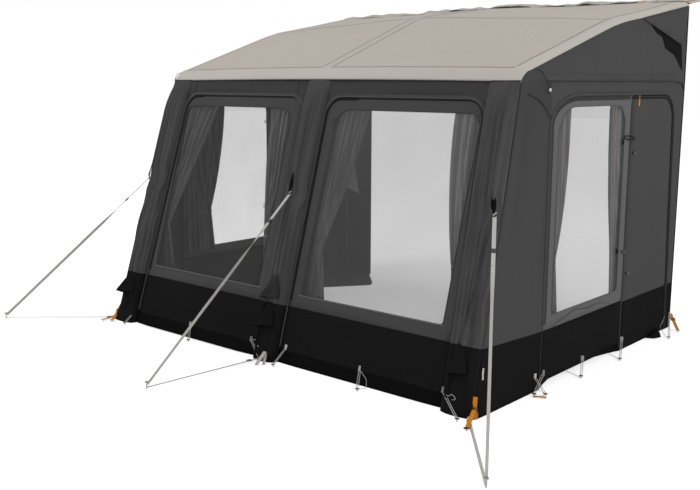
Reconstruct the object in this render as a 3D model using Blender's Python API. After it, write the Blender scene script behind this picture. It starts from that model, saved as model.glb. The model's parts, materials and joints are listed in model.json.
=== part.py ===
"""An inflatable awning for a campervan: air beams in sleeves, cloth walls, doors, curtains and storm guys.

Metres, +Z up, the open rear at +Y, where the vehicle stands. Sizes along Y are counted from the front foot line.
The whole awning hangs from one empty that moves the foot line so that the origin lies under its middle.
"""

import math

import bmesh
import bpy
from mathutils import Vector
from mathutils.geometry import tessellate_polygon

for old in list(bpy.data.objects):
    bpy.data.objects.remove(old, do_unlink=True)

# Whole awning
FLOOR_SETBACK = 0.04  # front wall plane at the ground
EAVE_SETBACK = 0.585  # front wall plane at the eave
EAVE_HEIGHT = 1.865
EAVE_HALF_WIDTH = 1.573
KNEE_SETBACK = 1.68
KNEE_HEIGHT = 2.236
KNEE_ROUNDING = 0.14
DEPTH = 2.675
REAR_HEIGHT = 2.41
REAR_HALF_WIDTH = 1.70

# Cloth and the clearance between neighbours
CLOTH = 0.003
GAP = 0.0004
SEAM_GAP = 0.0006

# Roof canopy
LIP_RUN = 0.09
LIP_RISE = 0.055
ROLL_WIDTH = 0.08
ROLL_RISE = 0.02
RIM_FLAT = 0.006
EAVE_CROWN = 0.01
KNEE_CROWN = 0.075
REAR_CROWN = 0.025

# Rear strip that slides into the vehicle's rail
STRIP_LENGTH = 0.13
STRIP_THICKNESS = 0.0028
STRIP_RISE = 0.028
STRIP_WAVE = 0.010
STRIP_WAVES = 5
BEAD_DIAMETER = 0.0075
BEAD_TURNS = (120, 75, 25)  # degrees round the bead, from its root to its tip

# Air beams and their sleeves
BEAM_DIAMETER = 0.11
BEAM_SIDES = 16
BEND_REACH = 0.22  # from the corner of the two runs to where the bend begins
BEAM_ROOF_CLEARANCE = 0.003
BEAM_END_GAP = 0.045
BEAM_INSET = 0.10  # side beam's axis in from the wall along the roof
SLEEVE_HALF_WIDTH = 0.105
SLEEVE_FLARE = 0.09  # how much further out the side legs stand at the ground
SLEEVE_SKIRT = 0.004
SLEEVE_STEPS = 12

# Front wall
MUD_HEIGHT = 0.365
FLAP_WIDTH = 0.25
MITRE_RUN = 0.12
HEADER_DEPTH = 0.117
BAY_CORNER = 0.13
PANE_SIDE_MARGIN = 0.11
PANE_BOTTOM_MARGIN = 0.087
PANE_TOP_MARGIN = 0.086
PANE_TOP_CORNER = 0.11
PANE_BOTTOM_CORNER = 0.02

# Side walls
WALL_HALF_WIDTH = 1.705  # outer face of the upright walls, under the gables that lean in to the roof
GABLE_SEAM_DROP = 0.008  # below the eave
SEAM_SETBACK = 0.70  # where the corner panel meets the flat side
WINDOW_PANEL_MARGIN = 0.035
SIDE_HEADER_DEPTH = 0.097
SIDE_WINDOW_CORNER = 0.20
DOOR_SHARE = 0.558  # of the way from the seam to the rear
DOOR_TOP_MARGIN = 0.175
DOOR_FOOT_MARGIN = 0.095
DOOR_CORNER = 0.19
DOOR_FLOOR_GAP = 0.002
SIDE_PANE_MARGIN = 0.13
SIDE_PANE_REAR_MARGIN = 0.10
SIDE_PANE_TOP_MARGIN = 0.068
SIDE_PANE_CORNER = 0.13
REAR_PAD_WIDTH = 0.37
REAR_PAD_THICKNESS = 0.03

# Curtains
CURTAIN_CLOTH = 0.004
CURTAIN_WAVES = 4
CURTAIN_COLUMNS = 18
CURTAIN_STANDOFF = 0.012
CURTAIN_HEAD_WIDTH = 0.27
CURTAIN_HEAD_OVERLAP = 0.04
CURTAIN_TIE_HEIGHT = 0.78
CURTAIN_TIE_WIDTH = 0.075
CURTAIN_HEM_HEIGHT = 0.42
CURTAIN_HEM_WIDTH = 0.15
SIDE_CURTAIN_HEAD_WIDTH = 0.15

# Inflation valves under their hoods
HOOD_WIDTH = 0.13
HOOD_TOP_WIDTH = 0.05
HOOD_HEIGHT = 0.17
HOOD_REACH = 0.055
HOOD_CLOTH = 0.004
HOOD_TOP_HEIGHT = 0.37
UPPER_HOOD_TOP_HEIGHT = 0.555
VALVE_DIAMETER = 0.045
VALVE_THICKNESS = 0.012
VALVE_DROP = 0.125  # valve's centre below the hood's top

# Door zip pullers
PULLER_WIDTH = 0.016
PULLER_LENGTH = 0.075
PULLER_THICKNESS = 0.005
PULLER_SETBACK = 0.10  # rearwards from the door's hinge side

# Storm guys
WEBBING_WIDTH = 0.016
WEBBING_THICKNESS = 0.0018
GUY_ANCHOR_HEIGHT = 1.105
GUY_FOOT_HEIGHT = 0.012
LEFT_PEG_PLACE = (-2.31, -0.575)
MIDDLE_PEG_PLACE = (-0.09, -0.88)
RIGHT_PEG_PLACE = (2.22, -0.689)
PEG_SHANK_DIAMETER = 0.009
PEG_HEAD_DIAMETER = 0.026
PEG_HEIGHT = 0.05
PEG_HEAD_THICKNESS = 0.007
PEG_LOOP_HEIGHT = 0.025
RUNNER_LENGTH = 0.03
RUNNER_RIM = 0.006
RUNNER_DISTANCE = 0.26  # from the anchor, along the strap

# Finishes as (colour, roughness, metallic)
ROOF_CLOTH = ((0.47, 0.43, 0.39), 0.75, 0.0)
WALL_CLOTH = ((0.062, 0.062, 0.064), 0.8, 0.0)
MUD_CLOTH = ((0.012, 0.012, 0.012), 0.6, 0.0)
LEAF_CLOTH = ((0.11, 0.11, 0.112), 0.75, 0.0)
FILM = ((0.6, 0.6, 0.6), 0.08, 0.0)
CURTAIN_FINISH = ((0.15, 0.148, 0.145), 0.85, 0.0)
FOAM_FINISH = ((0.035, 0.035, 0.036), 0.9, 0.0)
BEAM_FINISH = ((0.3, 0.3, 0.31), 0.45, 0.0)
WEBBING_FINISH = ((0.5, 0.48, 0.45), 0.8, 0.0)
PLASTIC_FINISH = ((0.01, 0.01, 0.01), 0.4, 0.0)
STEEL_FINISH = ((0.55, 0.55, 0.55), 0.35, 1.0)
ORANGE_FINISH = ((0.6, 0.21, 0.02), 0.6, 0.0)

STRIP_TIP_HALF_SPREAD = 0.045  # the strip's corners point out past the walls
FRONT_SLOPE = (EAVE_SETBACK - FLOOR_SETBACK) / EAVE_HEIGHT
FRONT_ANGLE = math.atan(FRONT_SLOPE)
BEAM_RADIUS = BEAM_DIAMETER / 2
SLEEVE_RISE = BEAM_RADIUS + GAP + CLOTH
SLEEVE_FRONT = SLEEVE_RISE / math.cos(FRONT_ANGLE) - FLOOR_SETBACK
BAY_TOP_HEIGHT = EAVE_HEIGHT - HEADER_DEPTH
PANE_BOTTOM_HEIGHT = MUD_HEIGHT + PANE_BOTTOM_MARGIN
PANE_TOP_HEIGHT = BAY_TOP_HEIGHT - PANE_TOP_MARGIN
WINDOW_PANEL_START = SEAM_SETBACK + WINDOW_PANEL_MARGIN
SIDE_OPENING_TOP = EAVE_HEIGHT - SIDE_HEADER_DEPTH
DOOR_START = SEAM_SETBACK + (DEPTH - SEAM_SETBACK) * DOOR_SHARE
DOOR_TOP_END = DEPTH - DOOR_TOP_MARGIN
DOOR_FOOT_END = DEPTH - DOOR_FOOT_MARGIN
SIDE_PANE_START = WINDOW_PANEL_START + SIDE_PANE_MARGIN
SIDE_PANE_END = DOOR_START - SIDE_PANE_REAR_MARGIN
REAR_REACH = DEPTH + GAP + STRIP_LENGTH + BEAD_DIAMETER / 2
MIDDLE = (REAR_REACH - SLEEVE_FRONT) / 2
UNDER_RIM = CLOTH + SEAM_GAP
GABLE_SEAM_HEIGHT = EAVE_HEIGHT - GABLE_SEAM_DROP

awning = bpy.data.objects.new("awning_frame", None)
awning.location = (0, -MIDDLE, 0)
bpy.context.scene.collection.objects.link(awning)


def finish(name, look):
    """The Principled material of one node."""
    colour, roughness, metallic = look
    material = bpy.data.materials.new(name)
    material.use_nodes = True
    shader = material.node_tree.nodes["Principled BSDF"]
    shader.inputs["Base Color"].default_value = (*colour, 1)
    shader.inputs["Roughness"].default_value = roughness
    shader.inputs["Metallic"].default_value = metallic
    material.diffuse_color = (*colour, 1)
    return material


def piece(name, points, faces, look, hand=1, pivot=(0, 0, 0), smooth=False):
    """One closed solid, turned over for the left side, with its origin at the pivot."""
    pivot = Vector((pivot[0] * hand, pivot[1], pivot[2]))
    placed = [Vector((p[0] * hand, p[1], p[2])) - pivot for p in points]
    mesh = bpy.data.meshes.new(name)
    mesh.from_pydata(placed, [], faces)
    shell = bmesh.new()
    shell.from_mesh(mesh)
    bmesh.ops.recalc_face_normals(shell, faces=shell.faces)
    if shell.calc_volume(signed=True) < 0:
        bmesh.ops.reverse_faces(shell, faces=shell.faces)
    shell.to_mesh(mesh)
    shell.free()
    mesh.materials.append(finish(name, look))
    if smooth:
        mesh.shade_smooth()
        mesh.set_sharp_from_angle(angle=math.radians(40))
    obj = bpy.data.objects.new(name, mesh)
    obj.location = pivot
    obj.parent = awning
    bpy.context.scene.collection.objects.link(obj)
    return obj


def blend(a, b, share):
    return a + (b - a) * share


class Flat:
    """The axes of a flat cloth panel: u along it, v up it, w out of it."""

    def __init__(self, origin, along, up):
        self.origin = Vector(origin)
        self.u = Vector(along).normalized()
        self.v = Vector(up).normalized()
        self.w = self.u.cross(self.v).normalized()

    def at(self, u, v, w=0.0):
        return self.origin + self.u * u + self.v * v + self.w * w


def rounded(corners, radii, steps=6):
    """The outline with an arc at each corner that has a radius."""
    outline = []
    for index, radius in enumerate(radii):
        corner = Vector(corners[index])
        before = (Vector(corners[index - 1]) - corner).normalized()
        after = (Vector(corners[(index + 1) % len(corners)]) - corner).normalized()
        if not radius:
            outline.append(corner)
            continue
        half = before.angle(after) / 2
        centre = corner + (before + after).normalized() * (radius / math.sin(half))
        start = corner + before * (radius / math.tan(half)) - centre
        end = corner + after * (radius / math.tan(half)) - centre
        sweep = math.pi - 2 * half
        for step in range(steps + 1):
            share = step / steps
            turned = start * math.sin((1 - share) * sweep) + end * math.sin(share * sweep)
            outline.append(centre + turned / math.sin(sweep))
    return outline


def slab(name, plane, outline, look, holes=(), thickness=CLOTH, **more):
    """A flat panel with its outer face on the plane."""
    loops = [[Vector((p[0], p[1])) for p in loop] for loop in (outline, *holes)]
    flat = [p for loop in loops for p in loop]
    count = len(flat)
    points = [plane.at(p.x, p.y) for p in flat] + [plane.at(p.x, p.y, -thickness) for p in flat]
    faces = []
    for triangle in tessellate_polygon([[p.to_3d() for p in loop] for loop in loops]):
        faces.append(tuple(triangle))
        faces.append(tuple(count + i for i in reversed(triangle)))
    first = 0
    for loop in loops:
        for i in range(len(loop)):
            a = first + i
            b = first + (i + 1) % len(loop)
            faces.append((a, b, count + b, count + a))
        first += len(loop)
    return piece(name, points, faces, look, **more)


def loft(name, rings, look, **more):
    """A solid through rings of as many points each, closed at both ends."""
    size = len(rings[0])
    points = [p for ring in rings for p in ring]
    faces = [tuple(range(size)), tuple(range(len(points) - size, len(points)))]
    for row in range(len(rings) - 1):
        for i in range(size):
            j = (i + 1) % size
            faces.append((row * size + i, row * size + j, (row + 1) * size + j, (row + 1) * size + i))
    return piece(name, points, faces, look, **more)


def sheet(name, rows, back_rows, look, **more):
    """A closed sheet between a front grid and a back grid."""
    height = len(rows)
    width = len(rows[0])
    count = height * width
    points = [p for row in rows for p in row] + [p for row in back_rows for p in row]
    faces = []
    for r in range(height - 1):
        for c in range(width - 1):
            # Both sides are split the same way, so that the cloth keeps its thickness where it twists.
            near = r * width + c
            far = near + width
            for corner in ((near, near + 1, far + 1), (near, far + 1, far)):
                faces.append(corner)
                faces.append(tuple(count + i for i in reversed(corner)))
    rim = [c for c in range(width)]
    rim += [r * width + width - 1 for r in range(1, height)]
    rim += [(height - 1) * width + c for c in range(width - 2, -1, -1)]
    rim += [r * width for r in range(height - 2, 0, -1)]
    for i, a in enumerate(rim):
        b = rim[(i + 1) % len(rim)]
        faces.append((a, b, count + b, count + a))
    return piece(name, points, faces, look, **more)


def side_x(y):
    """Long edge of the roof, which widens a little to the rear."""
    return blend(EAVE_HALF_WIDTH, REAR_HALF_WIDTH, (y - EAVE_SETBACK) / (DEPTH - EAVE_SETBACK))


def rim_height(y):
    """Lower edge of the canopy along the side."""
    lip_end = EAVE_SETBACK + LIP_RUN
    lip_top = EAVE_HEIGHT + LIP_RISE
    if y <= lip_end:
        return EAVE_HEIGHT + LIP_RISE * math.sin(math.pi / 2 * (y - EAVE_SETBACK) / LIP_RUN)
    front = (KNEE_HEIGHT - lip_top) / (KNEE_SETBACK - lip_end)
    rear = (REAR_HEIGHT - KNEE_HEIGHT) / (DEPTH - KNEE_SETBACK)
    past = y - KNEE_SETBACK
    if past <= -KNEE_ROUNDING:
        return KNEE_HEIGHT + front * past
    if past >= KNEE_ROUNDING:
        return KNEE_HEIGHT + rear * past
    share = (past + KNEE_ROUNDING) / (2 * KNEE_ROUNDING)
    start = KNEE_HEIGHT - front * KNEE_ROUNDING
    run = 2 * KNEE_ROUNDING
    return start + run * share * (front + (rear - front) * share / 2)


def roll_rise(y):
    """How far the canopy rises over the side beams; nothing at the eave seam."""
    return ROLL_RISE * math.sin(math.pi / 2 * min(1.0, (y - EAVE_SETBACK) / LIP_RUN))


def crown(y):
    """How much higher the middle of the roof stands than its edges."""
    if y < KNEE_SETBACK:
        return blend(EAVE_CROWN, KNEE_CROWN, (y - EAVE_SETBACK) / (KNEE_SETBACK - EAVE_SETBACK))
    return blend(KNEE_CROWN, REAR_CROWN, (y - KNEE_SETBACK) / (DEPTH - KNEE_SETBACK))


def roof_height(x, y):
    inner = side_x(y) - ROLL_WIDTH
    x = abs(x)
    if x <= inner:
        return rim_height(y) + roll_rise(y) + crown(y) * (1 - (x / inner) ** 2)
    over = (x - inner) / (ROLL_WIDTH - RIM_FLAT)
    return rim_height(y) + roll_rise(y) * math.sqrt(max(0.0, 1 - min(1.0, over) ** 2))


ROOF_STATIONS = sorted(
    {
        EAVE_SETBACK,
        EAVE_SETBACK + LIP_RUN / 3,
        EAVE_SETBACK + LIP_RUN * 2 / 3,
        EAVE_SETBACK + LIP_RUN,
        max(SEAM_SETBACK, EAVE_SETBACK + LIP_RUN + GAP),
        blend(SEAM_SETBACK, KNEE_SETBACK - KNEE_ROUNDING, 0.5),
        KNEE_SETBACK - KNEE_ROUNDING,
        KNEE_SETBACK - KNEE_ROUNDING / 3,
        KNEE_SETBACK + KNEE_ROUNDING / 3,
        KNEE_SETBACK + KNEE_ROUNDING,
        blend(KNEE_SETBACK + KNEE_ROUNDING, DEPTH, 0.5),
        DEPTH - REAR_PAD_THICKNESS,
        DEPTH,
    }
)
INWARD = Vector((-CLOTH, 0, 0))  # from the side's outer face to its inner face
LEAN_INWARD = Vector((-CLOTH, 0, -CLOTH))  # the same where the side leans in
front_wall = Flat((0, FLOOR_SETBACK, 0), (1, 0, 0), (0, FRONT_SLOPE, 1))
side_wall = Flat((WALL_HALF_WIDTH, 0, 0), (0, 1, 0), (0, 0, 1))


def up_front(height):
    """Distance up the sloping front wall to this height."""
    return height / math.cos(FRONT_ANGLE)


def canopy():
    """The roof, with its front edge turned down at the eave and its long edges rolled over the side beams."""
    rows = []
    for y in ROOF_STATIONS:
        edge = side_x(y)
        inner = edge - ROLL_WIDTH
        half = [inner * share for share in (0.0, 0.3, 0.6, 0.85, 1.0)]
        half += [inner + (ROLL_WIDTH - RIM_FLAT) * share for share in (0.45, 0.8, 1.0)] + [edge]
        across = [-x for x in reversed(half[1:])] + half
        rows.append([Vector((x, y, roof_height(x, y))) for x in across])
    under = [[p - Vector((0, 0, CLOTH)) for p in row] for row in rows]
    sheet("roof_canopy", rows, under, ROOF_CLOTH, smooth=True)


def rear_strip():
    """The limp strip along the roof's rear edge, with the bead that runs in the vehicle's rail."""
    sections = 4 * STRIP_WAVES * 2
    bead = BEAD_DIAMETER / 2
    half_cloth = STRIP_THICKNESS / 2
    rows = []
    under = []
    for index in range(sections + 1):
        share = 2 * index / sections - 1
        root_x = REAR_HALF_WIDTH * share
        tip_x = root_x + STRIP_TIP_HALF_SPREAD * share**5
        root = Vector((root_x, DEPTH + GAP, roof_height(root_x, DEPTH) - CLOTH / 2))
        lift = STRIP_RISE + STRIP_WAVE * math.sin(math.pi * STRIP_WAVES * share) * (1 - share**4)
        tip = Vector((tip_x, DEPTH + GAP + STRIP_LENGTH, root.z + lift))
        neck = root.lerp(tip, 1 - 2 * bead / STRIP_LENGTH)
        for side, line in ((1, rows), (-1, under)):
            cloth = Vector((0, 0, side * half_cloth))
            row = [root + cloth, neck + cloth]
            for turn in BEAD_TURNS:
                turn = math.radians(turn)
                row.append(tip + Vector((0, math.cos(turn), side * math.sin(turn))) * bead)
            line.append(row)
    sheet("rear_rail_strip", rows, under, ROOF_CLOTH)


def leg_x(height, at_side):
    """Middle of a leg's sleeve: the side legs lean in towards the eave."""
    eave = EAVE_HALF_WIDTH - SLEEVE_HALF_WIDTH
    return at_side * blend(eave + SLEEVE_FLARE, eave, height / EAVE_HEIGHT)


def beam_path(at_side):
    """Axis of one air beam: up the leg, round the eave, over the knee and back to the vehicle."""

    def roof_axis(y):
        x = at_side * (side_x(y) - BEAM_INSET)
        slope = (rim_height(y + GAP) - rim_height(y - GAP)) / (2 * GAP)
        drop = CLOTH + BEAM_ROOF_CLEARANCE + BEAM_RADIUS * math.sqrt(1 + slope * slope)
        return Vector((x, y, roof_height(x, y) - drop))

    first = EAVE_SETBACK + LIP_RUN + BEND_REACH
    second = first + BEND_REACH
    start = roof_axis(first)
    direction = (roof_axis(second) - start).normalized()
    rise = direction.z / direction.y
    corner_height = (start.z - rise * (start.y - FLOOR_SETBACK)) / (1 - rise * FRONT_SLOPE)
    corner = Vector((0, FLOOR_SETBACK + corner_height * FRONT_SLOPE, corner_height))
    corner.x = blend(leg_x(corner_height, at_side), start.x, 0.5)
    foot_height = BEAM_RADIUS * math.sin(FRONT_ANGLE) + CLOTH + SEAM_GAP
    bend_height = corner_height - BEND_REACH * math.cos(FRONT_ANGLE)
    foot = Vector((leg_x(foot_height, at_side), FLOOR_SETBACK + foot_height * FRONT_SLOPE, foot_height))
    bend = Vector((leg_x(bend_height, at_side), FLOOR_SETBACK + bend_height * FRONT_SLOPE, bend_height))
    leave = corner + (start - corner).normalized() * BEND_REACH
    path = [foot]
    for step in range(7):
        share = step / 6
        path.append(bend * (1 - share) ** 2 + corner * 2 * share * (1 - share) + leave * share**2)
    ends = DEPTH - REAR_PAD_THICKNESS - BEAM_END_GAP
    path += [roof_axis(y) for y in ROOF_STATIONS if leave.y + 0.1 < y < ends - 0.1]
    path.append(roof_axis(ends))
    return path


def rings_along(path, section):
    """The section's (across, up) points carried along the path, square to it."""
    rings = []
    for index, point in enumerate(path):
        ahead = path[min(index + 1, len(path) - 1)] - path[max(index - 1, 0)]
        ahead.normalize()
        up = Vector((1, 0, 0)).cross(ahead).normalized()
        across = ahead.cross(up).normalized()
        rings.append([point + across * a + up * b for a, b in section])
    return rings


def circle(radius, sides):
    turns = [2 * math.pi * (i + 0.5) / sides for i in range(sides)]
    return [(radius * math.cos(turn), radius * math.sin(turn)) for turn in turns]


def air_beam(name, at_side):
    rings = rings_along(beam_path(at_side), circle(BEAM_RADIUS, BEAM_SIDES))
    loft(name, rings, BEAM_FINISH, smooth=True)


def beam_front(path):
    """How far the beam stands out of the front wall, as (distance up the wall, distance out of it)."""
    outline = []
    for index in range(1, 8):
        ahead = (path[index + 1] - path[index - 1]).normalized()
        normal = Vector((1, 0, 0)).cross(ahead)
        normal = -normal if normal.y > 0 else normal
        from_foot = path[index] + normal.normalized() * BEAM_RADIUS - front_wall.origin
        outline.append((from_foot.dot(front_wall.v), from_foot.dot(front_wall.w)))
    return outline


def sleeve_section(v, rise, at_side):
    """Ring of the sleeve at this distance up the wall: an open-backed arch round the front of the beam."""
    outer = []
    inner = []
    for step in range(SLEEVE_STEPS + 1):
        turn = math.pi * step / SLEEVE_STEPS
        outer.append((SLEEVE_HALF_WIDTH * math.cos(turn), rise * math.sin(turn)))
        inner.append(((SLEEVE_HALF_WIDTH - CLOTH) * math.cos(turn), (rise - CLOTH) * math.sin(turn)))
    outer = [(SLEEVE_HALF_WIDTH, -SLEEVE_SKIRT)] + outer + [(-SLEEVE_HALF_WIDTH, -SLEEVE_SKIRT)]
    inner = [(SLEEVE_HALF_WIDTH - CLOTH, -SLEEVE_SKIRT)] + inner + [(CLOTH - SLEEVE_HALF_WIDTH, -SLEEVE_SKIRT)]
    ring = []
    for across, out in outer + inner[::-1]:
        # The lowest ring is cut level, so that the sleeve stands on the ground all round.
        level = v if v else -out * math.tan(FRONT_ANGLE)
        centre = leg_x(level * math.cos(FRONT_ANGLE), at_side)
        ring.append(front_wall.at(centre + across, level, out))
    return ring


def leg_sleeve(name, at_side):
    """The wall's own cloth round the leg, tapering in under the canopy where the beam bends back."""
    front = beam_front(beam_path(at_side))
    top = up_front(EAVE_HEIGHT - CLOTH - SEAM_GAP)
    bend = front[0][0]
    stations = [(0.0, SLEEVE_RISE), (bend, SLEEVE_RISE)]
    for v, out in front[1:]:
        if v < top - CLOTH:
            stations.append((v, min(SLEEVE_RISE, out + GAP + CLOTH + GAP)))
    last = stations[-1]
    beyond = next(point for point in front if point[0] > last[0])
    share = (top - last[0]) / (beyond[0] - last[0])
    stations.append((top, max(2 * CLOTH, blend(last[1], beyond[1] + GAP + CLOTH + GAP, share))))
    rings = [sleeve_section(v, rise, at_side) for v, rise in stations]
    loft(name, rings, WALL_CLOTH, smooth=True)


def bay_edges(height, clearance):
    """Left and right limits of the right-hand bay at this height, between the middle and the side sleeve."""
    return (
        SLEEVE_HALF_WIDTH + clearance,
        leg_x(height, 1) - SLEEVE_HALF_WIDTH - clearance,
    )


def bay_outline(clearance):
    """The zip line round a bay's front panel, and its corner radii."""
    bottom = MUD_HEIGHT + SEAM_GAP
    top = BAY_TOP_HEIGHT - clearance
    low = bay_edges(bottom, SEAM_GAP)
    high = bay_edges(top, SEAM_GAP)
    corners = [
        (low[0], up_front(bottom)),
        (low[1], up_front(bottom)),
        (high[1], up_front(top)),
        (high[0], up_front(top)),
    ]
    return rounded(corners, [0, 0, BAY_CORNER - clearance, BAY_CORNER - clearance])


def front_pane_outline(clearance):
    left, right = bay_edges(PANE_BOTTOM_HEIGHT, PANE_SIDE_MARGIN)
    left += clearance
    right -= clearance
    low = up_front(PANE_BOTTOM_HEIGHT) + clearance
    high = up_front(PANE_TOP_HEIGHT) - clearance
    radii = [PANE_BOTTOM_CORNER, PANE_BOTTOM_CORNER, PANE_TOP_CORNER, PANE_TOP_CORNER]
    return rounded([(left, low), (right, low), (right, high), (left, high)], radii)


def front_bay(side, hand):
    """Header, zip-out window panel, clear pane and mudwall of one bay."""
    low = MUD_HEIGHT + SEAM_GAP
    hinge = front_wall.at(0, up_front(low))
    opening = bay_outline(0)[2:]
    edges = bay_edges(EAVE_HEIGHT, SEAM_GAP)
    header = [tuple(p) for p in reversed(opening)]
    for share in (1.0, 0.75, 0.5, 0.25, 0.0):
        x = blend(edges[0], edges[1], share)
        header.append((x, up_front(roof_height(x, EAVE_SETBACK) - CLOTH - SEAM_GAP)))
    slab(f"{side}_front_header", front_wall, header, WALL_CLOTH, hand=hand)
    hole = front_pane_outline(0)
    slab(
        f"{side}_front_panel", front_wall, bay_outline(SEAM_GAP), WALL_CLOTH, holes=[hole], hand=hand, pivot=hinge
    )
    slab(f"{side}_front_pane", front_wall, front_pane_outline(GAP), FILM, hand=hand, pivot=hinge)
    rings = []
    for end in (0, 1):
        ring = []
        for v, out in ((0.0, 0.0), (up_front(MUD_HEIGHT), 0.0), (up_front(MUD_HEIGHT), -CLOTH)):
            ring.append(front_wall.at(bay_edges(v * math.cos(FRONT_ANGLE), SEAM_GAP)[end], v, out))
        foot = bay_edges(0, SEAM_GAP)[end]
        back = FLOOR_SETBACK + CLOTH / math.cos(FRONT_ANGLE) + CLOTH * FRONT_SLOPE
        reach = FLOOR_SETBACK + FLAP_WIDTH
        ring += [Vector((foot, back, CLOTH)), Vector((foot, reach, CLOTH)), Vector((foot, reach, 0))]
        rings.append(ring)
    loft(f"{side}_front_mudwall", rings, MUD_CLOTH, hand=hand)


def corner_x(height):
    """Outer face of the leaning corner panel, in line with the side leg's sleeve."""
    return leg_x(height, 1) + SLEEVE_HALF_WIDTH


def behind_sleeve(height):
    """Where the corner panel starts, just behind the sleeve's rear edge."""
    return FLOOR_SETBACK + height * FRONT_SLOPE + (SLEEVE_SKIRT + SEAM_GAP) / math.cos(FRONT_ANGLE)


def corner_columns(height):
    """Places along the corner panel, from the sleeve to its rear seam, which at the top are the roof's stations."""
    top = behind_sleeve(EAVE_HEIGHT - UNDER_RIM)
    stations = [y for y in ROOF_STATIONS if top + SEAM_GAP < y <= SEAM_SETBACK]
    shares = [(y - top) / (SEAM_SETBACK - top) for y in stations]
    first = behind_sleeve(height)
    return [first] + [blend(first, SEAM_SETBACK, share) for share in shares]


def corner_place(y, height):
    """The leaning corner's outer face, which runs out from the sleeve to the upright wall."""
    first = behind_sleeve(height)
    share = (y - first) / (SEAM_SETBACK - first)
    return Vector((blend(corner_x(height), WALL_HALF_WIDTH, share), y, height))


def corner_panel(side, hand):
    """The panel behind a side leg, whose top leans in from the gable seam to the roof like the gable."""
    rows = []
    inner = []
    for share in (0.0, 0.25, 0.5, 0.75, 1.0):
        height = blend(MUD_HEIGHT + SEAM_GAP, GABLE_SEAM_HEIGHT, share)
        rows.append([corner_place(y, height) for y in corner_columns(height)])
        inner.append([p + (LEAN_INWARD if share == 1.0 else INWARD) for p in rows[-1]])
    tops = corner_columns(EAVE_HEIGHT - UNDER_RIM)
    rows.append([Vector((side_x(y), y, rim_height(y) - UNDER_RIM)) for y in tops])
    inner.append([p + LEAN_INWARD for p in rows[-1]])
    sheet(f"{side}_corner_panel", rows, inner, WALL_CLOTH, hand=hand)


def gabled_wall(name, outline, seam_start, look, **more):
    """The upright wall, whose outline from seam_start on is the gable seam, and the gable leaning in from it."""
    upright = [side_wall.at(y, z) for y, z in outline]
    seam = range(seam_start, len(outline))
    gable = [Vector((side_x(upright[i].y), upright[i].y, rim_height(upright[i].y) - UNDER_RIM)) for i in seam]
    outer = upright + gable
    inner = [p + (INWARD if i < seam_start else LEAN_INWARD) for i, p in enumerate(outer)]
    count = len(outer)
    triangles = [tuple(t) for t in tessellate_polygon([[Vector((p.y, p.z, 0)) for p in upright]])]
    for i in seam[:-1]:
        over = i + len(seam)
        triangles += [(i, i + 1, over + 1), (i, over + 1, over)]
    edges = {}
    for a, b, c in triangles:
        for edge in ((a, b), (b, c), (c, a)):
            edges.setdefault(tuple(sorted(edge)), []).append(edge)
    faces = triangles + [tuple(count + i for i in reversed(t)) for t in triangles]
    for edge, uses in edges.items():
        if len(uses) == 1:
            a, b = edge
            faces.append((a, b, count + b, count + a))
    piece(name, outer + inner, faces, look, **more)


def side_panels(side, hand):
    """Flat side with its gable, window panel with its pane, and the door leaf with its zip puller."""
    low = MUD_HEIGHT + SEAM_GAP
    start = SEAM_SETBACK + SEAM_GAP
    seam = [(y, GABLE_SEAM_HEIGHT) for y in reversed(ROOF_STATIONS) if y > start] + [(start, GABLE_SEAM_HEIGHT)]
    window_start = WINDOW_PANEL_START
    notch = rounded(
        [
            (window_start, low),
            (window_start, SIDE_OPENING_TOP),
            (DOOR_TOP_END, SIDE_OPENING_TOP),
            (DOOR_FOOT_END, 0),
        ],
        [0, SIDE_WINDOW_CORNER, DOOR_CORNER, 0],
    )
    wall = [(start, low)] + [tuple(p) for p in notch] + [(DEPTH, 0)]
    gabled_wall(f"{side}_side_wall", wall + seam, len(wall), WALL_CLOTH, hand=hand)

    top = SIDE_OPENING_TOP - SEAM_GAP
    leaf = rounded(
        [
            (window_start + SEAM_GAP, low),
            (DOOR_START, low),
            (DOOR_START, top),
            (window_start + SEAM_GAP, top),
        ],
        [0, 0, 0, SIDE_WINDOW_CORNER - SEAM_GAP],
    )
    panes = [side_pane_outline(clearance) for clearance in (0, GAP)]
    slab(f"{side}_window_panel", side_wall, leaf, LEAF_CLOTH, holes=[panes[0]], hand=hand)
    slab(f"{side}_side_pane", side_wall, panes[1], FILM, hand=hand)

    hinge_side = DOOR_START + SEAM_GAP
    door = rounded(
        [
            (hinge_side, DOOR_FLOOR_GAP),
            (DOOR_FOOT_END - SEAM_GAP, DOOR_FLOOR_GAP),
            (DOOR_TOP_END - SEAM_GAP, top),
            (hinge_side, top),
        ],
        [0, 0, DOOR_CORNER - SEAM_GAP, 0],
    )
    slab(f"{side}_door", side_wall, door, WALL_CLOTH, hand=hand, pivot=side_wall.at(hinge_side, 0))
    zip_puller(side, hand, top)


def side_pane_outline(clearance):
    start = SIDE_PANE_START + clearance
    end = SIDE_PANE_END - clearance
    low = PANE_BOTTOM_HEIGHT + clearance
    high = SIDE_OPENING_TOP - SIDE_PANE_TOP_MARGIN - clearance
    radii = [PANE_BOTTOM_CORNER, PANE_BOTTOM_CORNER, SIDE_PANE_CORNER, SIDE_PANE_CORNER]
    return rounded([(start, low), (end, low), (end, high), (start, high)], radii)


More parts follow.
